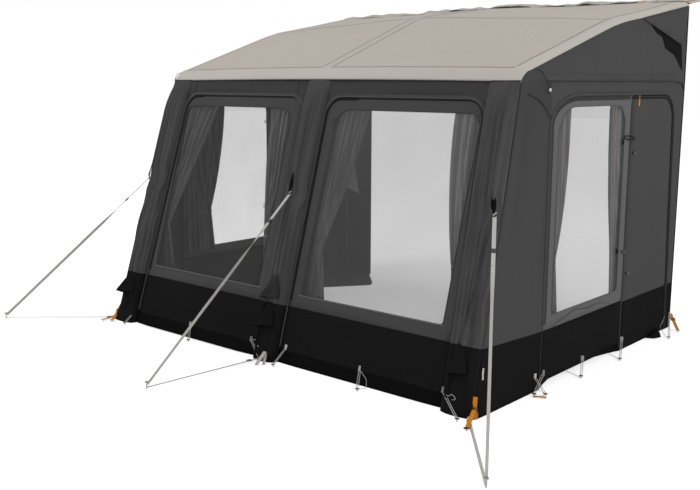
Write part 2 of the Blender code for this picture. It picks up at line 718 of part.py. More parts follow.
def zip_puller(side, hand, top):
    """The tag that hangs from the door's zip: a narrow neck over a wider grip."""
    middle = DOOR_START + PULLER_SETBACK
    half = PULLER_WIDTH / 2
    neck = half / 2
    outline = [
        (middle - neck, top),
        (middle - neck, top - PULLER_LENGTH / 3),
        (middle - half, top - PULLER_LENGTH / 2),
        (middle - half, top - PULLER_LENGTH),
        (middle + half, top - PULLER_LENGTH),
        (middle + half, top - PULLER_LENGTH / 2),
        (middle + neck, top - PULLER_LENGTH / 3),
        (middle + neck, top),
    ]
    outside = Flat(side_wall.at(0, 0, GAP + PULLER_THICKNESS), side_wall.u, side_wall.v)
    pivot = outside.at(middle, top)
    slab(f"{side}_zip_puller", outside, outline, ORANGE_FINISH, thickness=PULLER_THICKNESS, hand=hand, pivot=pivot)


def side_mudwall(side, hand):
    """The black band round the corner to the door, with its flap lying on the ground inside."""
    top = MUD_HEIGHT
    rings = []
    mitre = FLOOR_SETBACK + FLAP_WIDTH + SEAM_GAP
    beside_front = bay_edges(0, 0)[1]
    flap = WALL_HALF_WIDTH - FLAP_WIDTH
    places = []
    for share in (0, 1 / 3, 2 / 3, 1):
        foot = corner_place(blend(behind_sleeve(CLOTH), mitre, share), 0)
        places.append((foot, corner_place(blend(behind_sleeve(top), mitre, share), top), beside_front))
    for y in (mitre + MITRE_RUN, blend(mitre + MITRE_RUN, SEAM_SETBACK, 0.5), SEAM_SETBACK):
        places.append((corner_place(y, 0), corner_place(y, top), flap))
    places.append((side_wall.at(DOOR_START, 0), side_wall.at(DOOR_START, top), flap))
    for foot, head, flap_x in places:
        inside = foot + INWARD + Vector((0, 0, CLOTH))
        edge = Vector((flap_x, foot.y, 0))
        rings.append([foot, head, head + INWARD, inside, edge + Vector((0, 0, CLOTH)), edge])
    loft(f"{side}_side_mudwall", rings, MUD_CLOTH, hand=hand)


def rear_pad(side, hand):
    """The foam-backed strip that seals against the vehicle's side."""
    front = DEPTH - REAR_PAD_THICKNESS
    inside = CLOTH + SEAM_GAP
    top = rim_height(front) - inside
    inner = REAR_HALF_WIDTH - REAR_PAD_WIDTH
    upright = WALL_HALF_WIDTH - inside
    corners = [(inner, 0), (upright, 0), (upright, GABLE_SEAM_HEIGHT - CLOTH), (side_x(front) - inside, top)]
    corners.append((inner, top))
    rings = [[Vector((x, y, z)) for x, z in corners] for y in (front, DEPTH)]
    loft(f"{side}_rear_pad", rings, FOAM_FINISH, hand=hand)


def curtain(name, plane, head, tie, hem, depths, look, **more):
    """A gathered curtain. Head, tie and hem are (inner edge, outer edge, distance up the plane)."""
    stops = [(head, 0.005), (head, 0.007)]
    for share in (0.3, 0.6, 0.85):
        stops.append((tuple(blend(a, b, share**1.3) for a, b in zip(head, tie)), blend(0.018, 0.012, share)))
    stops.append((tie, 0.010))
    stops.append((tuple(blend(a, b, 0.4) for a, b in zip(tie, hem)), 0.014))
    stops.append((hem, 0.016))
    heights = [head[2], head[2] - CURTAIN_HEAD_OVERLAP]
    rows = []
    backs = []
    for index, (stop, fold) in enumerate(stops):
        height = heights[index] if index < 2 else stop[2]
        depth = depths[0] + fold if index < 2 else depths[1] + fold
        row = []
        for column in range(CURTAIN_COLUMNS + 1):
            share = column / CURTAIN_COLUMNS
            wave = fold * math.sin(2 * math.pi * CURTAIN_WAVES * share + math.pi / 4)
            row.append((blend(stop[0], stop[1], share), height, wave - depth))
        rows.append([plane.at(*p) for p in row])
        backs.append([plane.at(p[0], p[1], p[2] - CURTAIN_CLOTH) for p in row])
    sheet(name, rows, backs, look, **more)


def front_curtains(side, hand):
    """Two curtains for one front window, tied back to its two sides."""
    left, right = bay_edges(PANE_BOTTOM_HEIGHT, PANE_SIDE_MARGIN)
    head_height = up_front(BAY_TOP_HEIGHT) + CURTAIN_HEAD_OVERLAP
    tie_height = up_front(CURTAIN_TIE_HEIGHT)
    hem_height = up_front(CURTAIN_HEM_HEIGHT)
    high = bay_edges(BAY_TOP_HEIGHT, BAY_CORNER)
    depths = (CLOTH + GAP, CLOTH + CURTAIN_STANDOFF)
    for place, edge, inward, limit in (("inner", left, 1, high[0]), ("outer", right, -1, high[1])):
        head = (limit, limit + inward * CURTAIN_HEAD_WIDTH, head_height)
        tie = (edge - inward * 0.03, edge + inward * (CURTAIN_TIE_WIDTH - 0.03), tie_height)
        hem = (edge - inward * 0.03, edge + inward * (CURTAIN_HEM_WIDTH - 0.03), hem_height)
        curtain(f"{side}_front_{place}_curtain", front_wall, head, tie, hem, depths, CURTAIN_FINISH, hand=hand)


def side_curtains(side, hand):
    """Two curtains for a side window: the front one tied back, the rear one hanging straight."""
    head_height = SIDE_OPENING_TOP + CURTAIN_HEAD_OVERLAP
    depths = (CLOTH + GAP, CLOTH + CURTAIN_STANDOFF)
    start = SIDE_PANE_START
    end = SIDE_PANE_END + 0.03
    shapes = {
        "forward": (
            (start + 0.06, start + 0.06 + SIDE_CURTAIN_HEAD_WIDTH, head_height),
            (start - 0.04, start + 0.03, CURTAIN_TIE_HEIGHT),
            (start - 0.04, start + 0.07, CURTAIN_HEM_HEIGHT),
        ),
        "rearward": (
            (end - SIDE_CURTAIN_HEAD_WIDTH - 0.07, end - 0.03, head_height),
            (end - SIDE_CURTAIN_HEAD_WIDTH, end, CURTAIN_TIE_HEIGHT),
            (end - SIDE_CURTAIN_HEAD_WIDTH + 0.02, end, CURTAIN_HEM_HEIGHT),
        ),
    }
    for place, (head, tie, hem) in shapes.items():
        curtain(f"{side}_side_{place}_curtain", side_wall, head, tie, hem, depths, CURTAIN_FINISH, hand=hand)


def hood(name, at_side, top_height, look):
    """A ridged rain hood on the front of a leg, sewn along its narrow top and open below."""
    top = up_front(top_height)
    low = top - HOOD_HEIGHT
    seat = SLEEVE_RISE + GAP
    layers = []
    for lift in (HOOD_CLOTH, 0.0):
        rows = []
        for step in range(4):
            share = step / 3
            v = blend(low, top, share)
            centre = leg_x(v * math.cos(FRONT_ANGLE), at_side)
            half = blend(HOOD_WIDTH, HOOD_TOP_WIDTH, share) / 2
            side = SLEEVE_RISE * math.sqrt(1 - (half / SLEEVE_HALF_WIDTH) ** 2) + GAP * blend(6, 2, share)
            ridge = seat + blend(HOOD_REACH, 0.0, share)
            across = ((-half, side), (0.0, ridge), (half, side))
            rows.append([front_wall.at(centre + u, v, out + lift) for u, out in across])
        layers.append(rows)
    sheet(name, *layers, look, pivot=front_wall.at(leg_x(top_height, at_side), top, seat + HOOD_CLOTH))


def valve_cap(name, at_side):
    """Screw cap of a leg's inflation valve, with finger notches round its rim."""
    height = up_front(HOOD_TOP_HEIGHT) - VALVE_DROP
    centre_x = leg_x(height * math.cos(FRONT_ANGLE), at_side)
    seat = SLEEVE_RISE + SEAM_GAP
    rings = []
    for out, share in ((0.0, 1.0), (VALVE_THICKNESS * 0.75, 1.0), (VALVE_THICKNESS, 0.86)):
        ring = []
        for step in range(24):
            turn = 2 * math.pi * step / 24
            radius = VALVE_DIAMETER / 2 * share * (0.93 if step % 2 else 1.0)
            ring.append(front_wall.at(centre_x + radius * math.cos(turn), height + radius * math.sin(turn), seat + out))
        rings.append(ring)
    loft(name, rings, PLASTIC_FINISH, pivot=front_wall.at(centre_x, height, seat))


def sleeve_face(height, at_side, towards):
    """Point on a sleeve that faces the given ground direction, and the outward normal there."""
    rise = SLEEVE_RISE
    slant = towards.x / (-towards.y)
    turn = math.atan(SLEEVE_HALF_WIDTH / rise * slant)
    out = rise * math.cos(turn)
    v = up_front(height) - out * math.tan(FRONT_ANGLE)
    middle = leg_x(v * math.cos(FRONT_ANGLE), at_side)
    point = front_wall.at(middle + SLEEVE_HALF_WIDTH * math.sin(turn), v, out)
    normal = front_wall.u * (math.sin(turn) / SLEEVE_HALF_WIDTH) + front_wall.w * (math.cos(turn) / rise)
    return point, normal.normalized()


def strap(name, start, end, look):
    """Webbing pulled straight, its width level."""
    ahead = (end - start).normalized()
    across = ahead.cross(Vector((0, 0, 1))).normalized() * WEBBING_WIDTH / 2
    up = across.cross(ahead).normalized() * WEBBING_THICKNESS / 2
    rings = []
    for step in range(5):
        middle = start.lerp(end, step / 4)
        rings.append([middle + across + up, middle - across + up, middle - across - up, middle + across - up])
    loft(name, rings, look)


def storm_guy(side, at_side, peg_place):
    """Strap from the leg to a peg, the strap back along the ground, the peg and the runner on the strap."""
    peg = Vector((*peg_place, 0))
    base = Vector((leg_x(GUY_ANCHOR_HEIGHT, at_side), FLOOR_SETBACK + GUY_ANCHOR_HEIGHT * FRONT_SLOPE, 0))
    towards = (peg - base).normalized()
    stand = GAP + WEBBING_THICKNESS / 2
    anchor, normal = sleeve_face(GUY_ANCHOR_HEIGHT, at_side, towards)
    start = anchor + normal * stand
    shank = PEG_SHANK_DIAMETER / 2 + GAP
    hold = Vector((*peg_place, PEG_LOOP_HEIGHT))
    drawn = (hold - start).normalized()
    flat_drawn = Vector((drawn.x, drawn.y, 0)).length
    end = hold - drawn * ((shank + WEBBING_THICKNESS / 2) / flat_drawn)
    strap(f"{side}_guy_strap", start, end, WEBBING_FINISH)

    foot_base = Vector((leg_x(0, at_side), FLOOR_SETBACK, 0))
    back = (peg - foot_base).normalized()
    foot, foot_normal = sleeve_face(GUY_FOOT_HEIGHT, at_side, back)
    foot_start = foot + Vector((foot_normal.x, foot_normal.y, 0)) * (stand + SEAM_GAP)
    peg_low = Vector((*peg_place, GUY_FOOT_HEIGHT))
    low_drawn = (peg_low - foot_start).normalized()
    strap(f"{side}_guy_return", foot_start, peg_low - low_drawn * shank, WEBBING_FINISH)

    rings = []
    stages = (
        (0.0, PEG_SHANK_DIAMETER),
        (PEG_HEIGHT - PEG_HEAD_THICKNESS, PEG_SHANK_DIAMETER),
        (PEG_HEIGHT - PEG_HEAD_THICKNESS, PEG_HEAD_DIAMETER),
        (PEG_HEIGHT - PEG_HEAD_THICKNESS / 3, PEG_HEAD_DIAMETER),
        (PEG_HEIGHT, PEG_HEAD_DIAMETER * 0.7),
    )
    for z, diameter in stages:
        rings.append([peg + Vector((a, b, z)) for a, b in circle(diameter / 2, 12)])
    loft(f"{side}_guy_peg", rings, STEEL_FINISH, smooth=True)
    runner(f"{side}_guy_runner", start, drawn)


def runner(name, start, drawn):
    """The ladder-lock that shortens the strap: a plate with a slot that the webbing runs through."""
    middle = start + drawn * RUNNER_DISTANCE
    across = drawn.cross(Vector((0, 0, 1))).normalized()
    up = across.cross(drawn).normalized()
    slot_half_width = WEBBING_WIDTH / 2 + SEAM_GAP
    slot_half_height = WEBBING_THICKNESS / 2 + SEAM_GAP
    rings = []
    for along in (-RUNNER_LENGTH / 2, RUNNER_LENGTH / 2):
        for rim in (RUNNER_RIM, 0.0):
            half_width = slot_half_width + rim
            half_height = slot_half_height + rim * 0.6
            corners = ((1, 1), (-1, 1), (-1, -1), (1, -1))
            rings.append(
                [middle + drawn * along + across * a * half_width + up * b * half_height for a, b in corners]
            )
    points = [p for ring in rings for p in ring]
    faces = []
    for i in range(4):
        j = (i + 1) % 4
        faces.append((i, j, 4 + j, 4 + i))
        faces.append((8 + i, 8 + j, 12 + j, 12 + i))
        faces.append((i, j, 8 + j, 8 + i))
        faces.append((4 + i, 4 + j, 12 + j, 12 + i))
    piece(name, points, faces, PLASTIC_FINISH, pivot=middle)


canopy()
rear_strip()
LEGS = {"left": -1, "middle": 0, "right": 1}
for leg, leg_side in LEGS.items():
    air_beam(f"{leg}_air_beam", leg_side)
    leg_sleeve(f"{leg}_leg_sleeve", leg_side)
    hood(f"{leg}_valve_hood", leg_side, HOOD_TOP_HEIGHT, MUD_CLOTH)
    valve_cap(f"{leg}_valve_cap", leg_side)
hood("middle_upper_hood", 0, UPPER_HOOD_TOP_HEIGHT, WALL_CLOTH)
for wall_side, wall_hand in (("left", -1), ("right", 1)):
    front_bay(wall_side, wall_hand)
    corner_panel(wall_side, wall_hand)
    side_panels(wall_side, wall_hand)
    side_mudwall(wall_side, wall_hand)
    rear_pad(wall_side, wall_hand)
    front_curtains(wall_side, wall_hand)
    side_curtains(wall_side, wall_hand)
PEG_PLACES = {"left": LEFT_PEG_PLACE, "middle": MIDDLE_PEG_PLACE, "right": RIGHT_PEG_PLACE}
for leg, leg_side in LEGS.items():
    storm_guy(leg, leg_side, PEG_PLACES[leg])
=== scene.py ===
import json
import math

import bmesh
import bpy
from mathutils import Quaternion, Vector, noise
from mathutils.geometry import tessellate_polygon
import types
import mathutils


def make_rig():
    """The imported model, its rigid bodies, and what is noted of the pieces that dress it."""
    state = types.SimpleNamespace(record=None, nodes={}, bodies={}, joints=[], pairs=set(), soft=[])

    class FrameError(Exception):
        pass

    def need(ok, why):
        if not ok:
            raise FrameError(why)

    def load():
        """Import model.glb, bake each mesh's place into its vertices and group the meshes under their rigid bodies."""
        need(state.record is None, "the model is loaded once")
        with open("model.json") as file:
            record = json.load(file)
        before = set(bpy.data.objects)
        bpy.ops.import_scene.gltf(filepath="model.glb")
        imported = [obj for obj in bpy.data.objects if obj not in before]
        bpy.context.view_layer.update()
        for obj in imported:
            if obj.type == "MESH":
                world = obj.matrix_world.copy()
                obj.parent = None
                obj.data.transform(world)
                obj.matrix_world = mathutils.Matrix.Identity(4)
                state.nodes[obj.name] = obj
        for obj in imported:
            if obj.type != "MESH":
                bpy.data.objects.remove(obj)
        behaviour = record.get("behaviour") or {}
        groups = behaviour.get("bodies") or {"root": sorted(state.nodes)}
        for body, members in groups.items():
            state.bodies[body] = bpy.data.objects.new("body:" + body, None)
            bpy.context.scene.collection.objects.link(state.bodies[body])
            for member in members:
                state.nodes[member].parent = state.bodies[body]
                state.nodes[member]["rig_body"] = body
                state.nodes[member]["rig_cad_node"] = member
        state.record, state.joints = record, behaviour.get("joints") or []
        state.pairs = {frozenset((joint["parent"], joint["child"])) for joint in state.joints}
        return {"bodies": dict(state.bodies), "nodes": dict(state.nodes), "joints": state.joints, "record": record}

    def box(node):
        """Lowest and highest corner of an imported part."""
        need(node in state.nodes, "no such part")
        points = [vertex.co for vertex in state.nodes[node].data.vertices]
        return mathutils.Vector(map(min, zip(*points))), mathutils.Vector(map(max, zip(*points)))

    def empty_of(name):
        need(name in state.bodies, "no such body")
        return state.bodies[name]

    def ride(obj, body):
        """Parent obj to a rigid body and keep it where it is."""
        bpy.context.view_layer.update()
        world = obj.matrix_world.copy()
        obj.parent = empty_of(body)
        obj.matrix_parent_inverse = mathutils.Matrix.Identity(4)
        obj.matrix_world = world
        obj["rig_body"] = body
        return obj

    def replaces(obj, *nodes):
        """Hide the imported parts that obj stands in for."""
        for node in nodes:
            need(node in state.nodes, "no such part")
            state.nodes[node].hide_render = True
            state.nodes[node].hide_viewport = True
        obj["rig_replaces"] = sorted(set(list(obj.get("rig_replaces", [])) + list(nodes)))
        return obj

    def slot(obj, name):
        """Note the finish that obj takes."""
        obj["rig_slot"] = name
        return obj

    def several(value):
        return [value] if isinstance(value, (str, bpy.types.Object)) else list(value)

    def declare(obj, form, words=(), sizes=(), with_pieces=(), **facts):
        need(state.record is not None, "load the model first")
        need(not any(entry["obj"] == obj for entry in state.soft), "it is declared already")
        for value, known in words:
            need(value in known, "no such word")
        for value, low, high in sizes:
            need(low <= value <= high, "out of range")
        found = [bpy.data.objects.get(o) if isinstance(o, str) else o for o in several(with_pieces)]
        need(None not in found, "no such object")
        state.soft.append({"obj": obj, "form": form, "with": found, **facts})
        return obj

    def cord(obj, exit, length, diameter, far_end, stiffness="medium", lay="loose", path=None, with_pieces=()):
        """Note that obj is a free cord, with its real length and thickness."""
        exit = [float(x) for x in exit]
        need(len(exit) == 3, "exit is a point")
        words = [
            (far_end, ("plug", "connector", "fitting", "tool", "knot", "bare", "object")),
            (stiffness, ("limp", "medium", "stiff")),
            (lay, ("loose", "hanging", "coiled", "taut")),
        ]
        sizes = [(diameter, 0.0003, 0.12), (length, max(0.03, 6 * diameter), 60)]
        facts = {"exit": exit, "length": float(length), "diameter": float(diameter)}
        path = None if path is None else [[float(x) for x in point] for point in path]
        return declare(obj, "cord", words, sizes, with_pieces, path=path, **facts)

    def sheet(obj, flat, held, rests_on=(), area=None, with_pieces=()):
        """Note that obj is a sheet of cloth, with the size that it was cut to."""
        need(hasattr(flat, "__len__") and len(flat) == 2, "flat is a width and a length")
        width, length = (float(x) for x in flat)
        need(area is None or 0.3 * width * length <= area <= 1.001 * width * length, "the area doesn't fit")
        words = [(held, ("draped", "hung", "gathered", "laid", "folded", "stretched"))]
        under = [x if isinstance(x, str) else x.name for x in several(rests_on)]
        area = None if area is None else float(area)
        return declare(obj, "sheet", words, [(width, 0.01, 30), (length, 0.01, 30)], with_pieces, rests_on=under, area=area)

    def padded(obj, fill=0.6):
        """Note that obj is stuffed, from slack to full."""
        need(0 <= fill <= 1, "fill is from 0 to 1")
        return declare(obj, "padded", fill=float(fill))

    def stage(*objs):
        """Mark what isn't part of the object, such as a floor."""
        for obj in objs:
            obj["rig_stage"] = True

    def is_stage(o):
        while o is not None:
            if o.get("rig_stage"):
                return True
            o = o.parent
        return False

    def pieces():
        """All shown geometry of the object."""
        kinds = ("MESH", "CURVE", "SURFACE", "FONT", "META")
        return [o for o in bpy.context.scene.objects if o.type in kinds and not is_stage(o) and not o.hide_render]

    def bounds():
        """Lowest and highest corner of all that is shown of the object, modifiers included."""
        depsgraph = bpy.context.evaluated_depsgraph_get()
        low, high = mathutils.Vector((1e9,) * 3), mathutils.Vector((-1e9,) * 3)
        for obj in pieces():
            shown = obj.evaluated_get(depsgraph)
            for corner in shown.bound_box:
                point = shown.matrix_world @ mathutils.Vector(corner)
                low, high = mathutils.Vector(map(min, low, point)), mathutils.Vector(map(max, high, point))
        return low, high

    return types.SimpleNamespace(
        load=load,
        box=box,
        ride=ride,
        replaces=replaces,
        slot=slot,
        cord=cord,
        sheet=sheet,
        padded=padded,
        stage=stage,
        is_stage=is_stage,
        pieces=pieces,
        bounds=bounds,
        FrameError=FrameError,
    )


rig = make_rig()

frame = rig.load()
cad_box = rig.bounds()
scene = bpy.context.scene
scene.view_settings.view_transform = "Standard"

# Camera. A plain lens at about eye height, off the awning's right-hand front corner and tipped down a
# little.
lens = bpy.data.cameras.new("sight")
lens.lens = 47.55
lens.sensor_width = 36
camera = bpy.data.objects.new("sight", lens)
camera.location = (4.380, -5.531, 1.846)
camera.rotation_euler = [math.radians(turn) for turn in (80.0, -0.186, 41.057)]
scene.collection.objects.link(camera)
scene.camera = camera


# Storm guys. Each is one length of pale woven tape from a leg to a steel peg in the ground, doubled as far
# as its black runner, with a second length from the peg back to the leg's foot. Both are sewn to loops on
# the leg.
class Shade:
    """A value in a material's node tree. Sums written on it add Math nodes."""

    def __init__(self, tree, socket=None):
        self.tree = tree
        self.socket = socket

    def node(self, kind, settings, values, output=0):
        made = self.tree.nodes.new(kind)
        for key, value in settings.items():
            setattr(made, key, value)
        for key, value in values.items():
            if isinstance(value, Shade):
                self.tree.links.new(value.socket, made.inputs[key])
            else:
                made.inputs[key].default_value = value
        return Shade(self.tree, made.outputs[output])

    def maths(self, operation, *values):
        return self.node("ShaderNodeMath", {"operation": operation}, dict(enumerate(values)))

    def __add__(self, other):
        return self.maths("ADD", self, other)

    def __sub__(self, other):
        return self.maths("SUBTRACT", self, other)

    def __mul__(self, other):
        return self.maths("MULTIPLY", self, other)

    def mixed(self, first, second):
        """The first colour where this is 0, and the second where it is 1."""
        colours = {6: first, 7: second}
        for key, colour in colours.items():
            if isinstance(colour, tuple):
                colours[key] = (*colour, 1)
        return self.node("ShaderNodeMix", {"data_type": "RGBA"}, {0: self, **colours}, 2)

    def noise(self, place, scale, detail=2.0):
        return self.node("ShaderNodeTexNoise", {}, {"Vector": place, "Scale": scale, "Detail": detail})

    def stretched(self, place, scale):
        return self.node("ShaderNodeMapping", {}, {"Vector": place, "Scale": scale})

    def place(self, kind="Object"):
        return self.node("ShaderNodeTexCoord", {}, {}, kind)

    def bump(self, strength, distance, height, **more):
        values = {"Strength": strength, "Distance": distance, "Height": height, **more}
        return self.node("ShaderNodeBump", {}, values)

    def other(self, name):
        """Another output of the node that this value comes from."""
        return Shade(self.tree, self.socket.node.outputs[name])


def finish(name, colour, roughness, **more):
    """A Principled material, and the start of its node tree. More sockets are set by name."""
    material = bpy.data.materials.new(name)
    material.use_nodes = True
    tree = material.node_tree
    shader = tree.nodes["Principled BSDF"]
    settings = {"Base Color": colour, "Roughness": roughness, **more}
    for key, value in settings.items():
        if isinstance(value, tuple):
            value = (*value, 1)[:4]
        shader.inputs[key].default_value = value
    return material, Shade(tree), shader


def feed(shader, **sockets):
    for key, value in sockets.items():
        value.tree.links.new(value.socket, shader.inputs[key.replace("_", " ")])


CLOTH_GLOSS = 0.05


def woven(name, colour, roughness=0.8, pitch=0.0012, crease=0.006, crease_scale=3.0, shift=0.1,
          gloss=CLOTH_GLOSS, streaks=0.0):
    """Woven cloth: crossing threads, a little uneven in colour, with soft creases. Streaks run up it."""
    material, start, shader = finish(name, colour, roughness)
    shader.inputs["Specular IOR Level"].default_value = gloss
    flat = start.place("UV")
    place = start.place()
    across = start.node("ShaderNodeSeparateXYZ", {}, {"Vector": flat})
    turns = 2 * math.pi / pitch
    threads = start.maths("SINE", across * turns) * start.maths("SINE", across.other("Y") * turns)
    patches = start.noise(place, 1.7, 3.0)
    grain = start.noise(flat, 900.0, 1.0)
    tone = patches * 1.2 + grain * 0.5 - 0.85
    if streaks:
        upright = start.noise(start.stretched(flat, (1.0, 0.025, 1.0)), 42.0)
        tone = tone + upright * streaks - streaks / 2
    dark = tuple(c * (1 - shift) for c in colour)
    light = tuple(c * (1 + shift) for c in colour)
    feed(shader, Base_Color=(tone + 0.5).mixed(dark, light), Roughness=patches * 0.12 + (roughness - 0.06))
    folds = start.noise(start.stretched(place, (1.0, 1.0, 0.45)), crease_scale, 3.0)
    soft = start.bump(0.8, crease * 4, folds)
    feed(shader, Normal=start.bump(0.25, pitch / 14, threads, Normal=soft))
    return material


def dress(piece, material):
    """Gives a piece this finish alone."""
    piece.data.materials.clear()
    piece.data.materials.append(material)
    return piece


def keep(piece, body, slot, material=None, nodes=()):
    """The piece's finish, the body it moves with, and the CAD nodes that it stands for."""
    if material:
        dress(piece, material)
    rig.ride(piece, body)
    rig.slot(piece, slot)
    if nodes:
        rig.replaces(piece, *nodes)
    return piece


def placed_mesh(name, mesh):
    piece = bpy.data.objects.new(name, mesh)
    scene.collection.objects.link(piece)
    return piece


def settled(carrier, name):
    """A piece in the carrier's finished shape, in place of the carrier."""
    bpy.context.view_layer.update()
    mesh = bpy.data.meshes.new_from_object(carrier.evaluated_get(bpy.context.evaluated_depsgraph_get()))
    bpy.data.objects.remove(carrier, do_unlink=True)
    mesh.name = name
    return placed_mesh(name, mesh)


def mesh_piece(name, points, faces, smooth, mapping):
    """A piece from faces that look outwards. The mapping gives each corner's place on the flat cloth."""
    mesh = bpy.data.meshes.new(name)
    mesh.from_pydata([tuple(p) for p in points], [], faces)
    layer = mesh.uv_layers.new(name="flat")
    for loop in mesh.loops:
        layer.data[loop.index].uv = mapping[loop.vertex_index]
    if smooth:
        mesh.shade_smooth()
    return placed_mesh(name, mesh)


def swept(name, rings, smooth=True):
    """A closed skin through rings of as many points, with its ends filled."""
    size = len(rings[0])
    points = [p for ring in rings for p in ring]
    faces = []
    for row in range(len(rings) - 1):
        for i in range(size):
            a = row * size + i
            b = row * size + (i + 1) % size
            faces.append((a, b, b + size, a + size))
    faces.append(tuple(reversed(range(size))))
    faces.append(tuple(range(len(points) - size, len(points))))
    mapping = []
    run = 0.0
    for index, ring in enumerate(rings):
        if index:
            run += (ring[0] - rings[index - 1][0]).length
        round_it = 0.0
        for i, p in enumerate(ring):
            round_it += (p - ring[i - 1]).length if i else 0.0
            mapping.append((round_it, run))
    piece = mesh_piece(name, points, faces, smooth, mapping)
    shell = bmesh.new()
    shell.from_mesh(piece.data)
    bmesh.ops.recalc_face_normals(shell, faces=shell.faces)
    shell.to_mesh(piece.data)
    shell.free()
    return piece


def tape(name, line, across, width, thickness, smooth=False):
    """Flat woven tape along a line. Across gives its width's direction, and like the width may be a list."""
    rings = []
    for index, p in enumerate(line):
        wide = width[index] if isinstance(width, list) else width
        ahead = line[min(index + 1, len(line) - 1)] - line[max(index - 1, 0)]
        side = across[index] if isinstance(across, list) else across
        side = (side - ahead * side.dot(ahead) / ahead.length_squared).normalized()
        up = side.cross(ahead).normalized() * thickness / 2
        side = side * wide / 2
        rings.append([p + side + up, p + side * 0.5 + up, p - side * 0.5 + up, p - side + up]
                     + [p - side - up, p - side * 0.5 - up, p + side * 0.5 - up, p + side - up])
    return swept(name, rings, smooth)


def taped(name, line, across, width, thickness, slot, material, body="awning"):
    return keep(tape(name, line, across, width, thickness), body, slot, material)


def cord_piece(name, lines, radius, cyclic=False, sides=2):
    """Round piping along one or more lines, as one piece."""
    curve = bpy.data.curves.new(name, "CURVE")
    curve.dimensions = "3D"
    curve.bevel_depth = radius
    curve.bevel_resolution = sides
    curve.use_fill_caps = True
    for line in lines:
        spline = curve.splines.new("POLY")
        spline.points.add(len(line) - 1)
        for point, p in zip(spline.points, line):
            point.co = (*p, 1)
        spline.use_cyclic_u = cyclic
    piece = settled(placed_mesh(name + "_line", curve), name)
    piece.data.shade_smooth()
    return piece


def corded(name, lines, radius, slot, material, body="awning", **more):
    return keep(cord_piece(name, lines, radius, **more), body, slot, material)


def declare_cord(piece, line, diameter, far_end, carried, lay="taut"):
    """Says that the piece is a limp cord along this line, and what it carries."""
    length = sum((b - a).length for a, b in zip(line, line[1:]))
    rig.cord(piece, exit=line[0], length=length, diameter=diameter, far_end=far_end, stiffness="limp", lay=lay,
            path=line, with_pieces=carried)


TAPE_WIDTH = 0.023
RETURN_WIDTH = 0.018
TAPE_THICKNESS = 0.0018
webbing = woven("pale_webbing", (0.5, 0.475, 0.44), 0.85, pitch=0.0018, crease=0.0002, crease_scale=40)
guy_plastic, start, shader = finish("black_moulding", (0.012, 0.012, 0.013), 0.38)
feed(shader, Normal=start.bump(0.2, 0.0003, start.noise(start.place(), 700.0)))
zinc, start, shader = finish("zinc_plate", (0.30, 0.30, 0.30), 0.45, Metallic=1.0)
feed(shader, Roughness=start.noise(start.place(), 160.0, 4.0) * 0.4 + 0.15)
# Each guy's anchor on the leg, its hold at the peg, the foot of the leg and the peg's place on the ground.
GUYS = {
    "left": ((-1.5941, -1.0653, 1.1053), (-2.3064, -1.9646, 0.0304),
             (-1.6548, -1.3770, 0.012), (-2.31, -1.96915)),
    "middle": ((-0.0137, -1.0928, 1.1054), (-0.0896, -2.2684, 0.0303),
               (-0.0184, -1.4124, 0.012), (-0.09, -2.27415)),
    "right": ((1.5872, -1.0708, 1.1053), (2.2169, -2.0782, 0.0303),
              (1.6487, -1.3838, 0.012), (2.22, -2.08315)),
}
# How far each tape is twisted about its own line: below the runner, and on its way back.
TURNED = {"left": (1.2, 0.0), "middle": (1.35, 0.0), "right": (0.85, 0.7)}
RUNNER_SHARE = 0.23
TWIST_SHARE = 0.13
DOUBLED_LENGTH = 0.34
for side, (anchor, hold, foot, peg) in GUYS.items():
    anchor = Vector(anchor)
    hold = Vector(hold)
    foot = Vector(foot)
    peg_low = Vector((*peg, 0.012))
    run = hold - anchor
    level = run.cross(Vector((0, 0, 1))).normalized()
    line = [anchor.lerp(hold, step / 24) for step in range(25)]
    levels = [level.copy() for step in range(25)]
    for step, turned in enumerate(levels):
        twisted = min(1.0, max(0.0, step / 24 - RUNNER_SHARE) / TWIST_SHARE)
        turned.rotate(Quaternion(run, TURNED[side][0] * twisted))
    strap = tape(f"{side}_guy_tape", line, levels, TAPE_WIDTH, TAPE_THICKNESS)
    keep(strap, "awning", "webbing", webbing, [f"{side}_guy_strap"])
    lift = level.cross(run).normalized() * (0.0024 if level.cross(run).z > 0 else -0.0024)
    doubled = [anchor.lerp(hold, step / 8 * DOUBLED_LENGTH / run.length + 0.012) + lift for step in range(9)]
    spare = taped(f"{side}_guy_doubled_tape", doubled, level, TAPE_WIDTH, TAPE_THICKNESS, "webbing", webbing)
    runner = dress(frame["nodes"][f"{side}_guy_runner"], guy_plastic)
    stake = dress(frame["nodes"][f"{side}_guy_peg"], zinc)
    declare_cord(strap, line, TAPE_WIDTH, "fitting", [spare, runner, stake])
    low = peg_low - foot
    low -= low.normalized() * 0.0049
    back_line = [foot + low * step / 12 for step in range(13)]
    apart = low.cross(Vector((0, 0, 1))).normalized()
    apart.rotate(Quaternion(low, TURNED[side][1]))
    back = tape(f"{side}_guy_return_tape", back_line, apart, RETURN_WIDTH, TAPE_THICKNESS)
    keep(back, "awning", "webbing", webbing, [f"{side}_guy_return"])
    buckle_bars = []
    for reach in (0.060, 0.074, 0.090):
        centre = foot + low.normalized() * reach + Vector((0, 0, 0.0035))
        buckle_bars.append([centre - apart * 0.015, centre + apart * 0.015])
    for hand in (-1, 1):
        buckle_bars.append([buckle_bars[0][hand > 0], buckle_bars[2][hand > 0]])
    buckle = corded(f"{side}_guy_buckle", buckle_bars, 0.0026, "black_plastic", guy_plastic)
    declare_cord(back, back_line, RETURN_WIDTH, "object", [buckle])


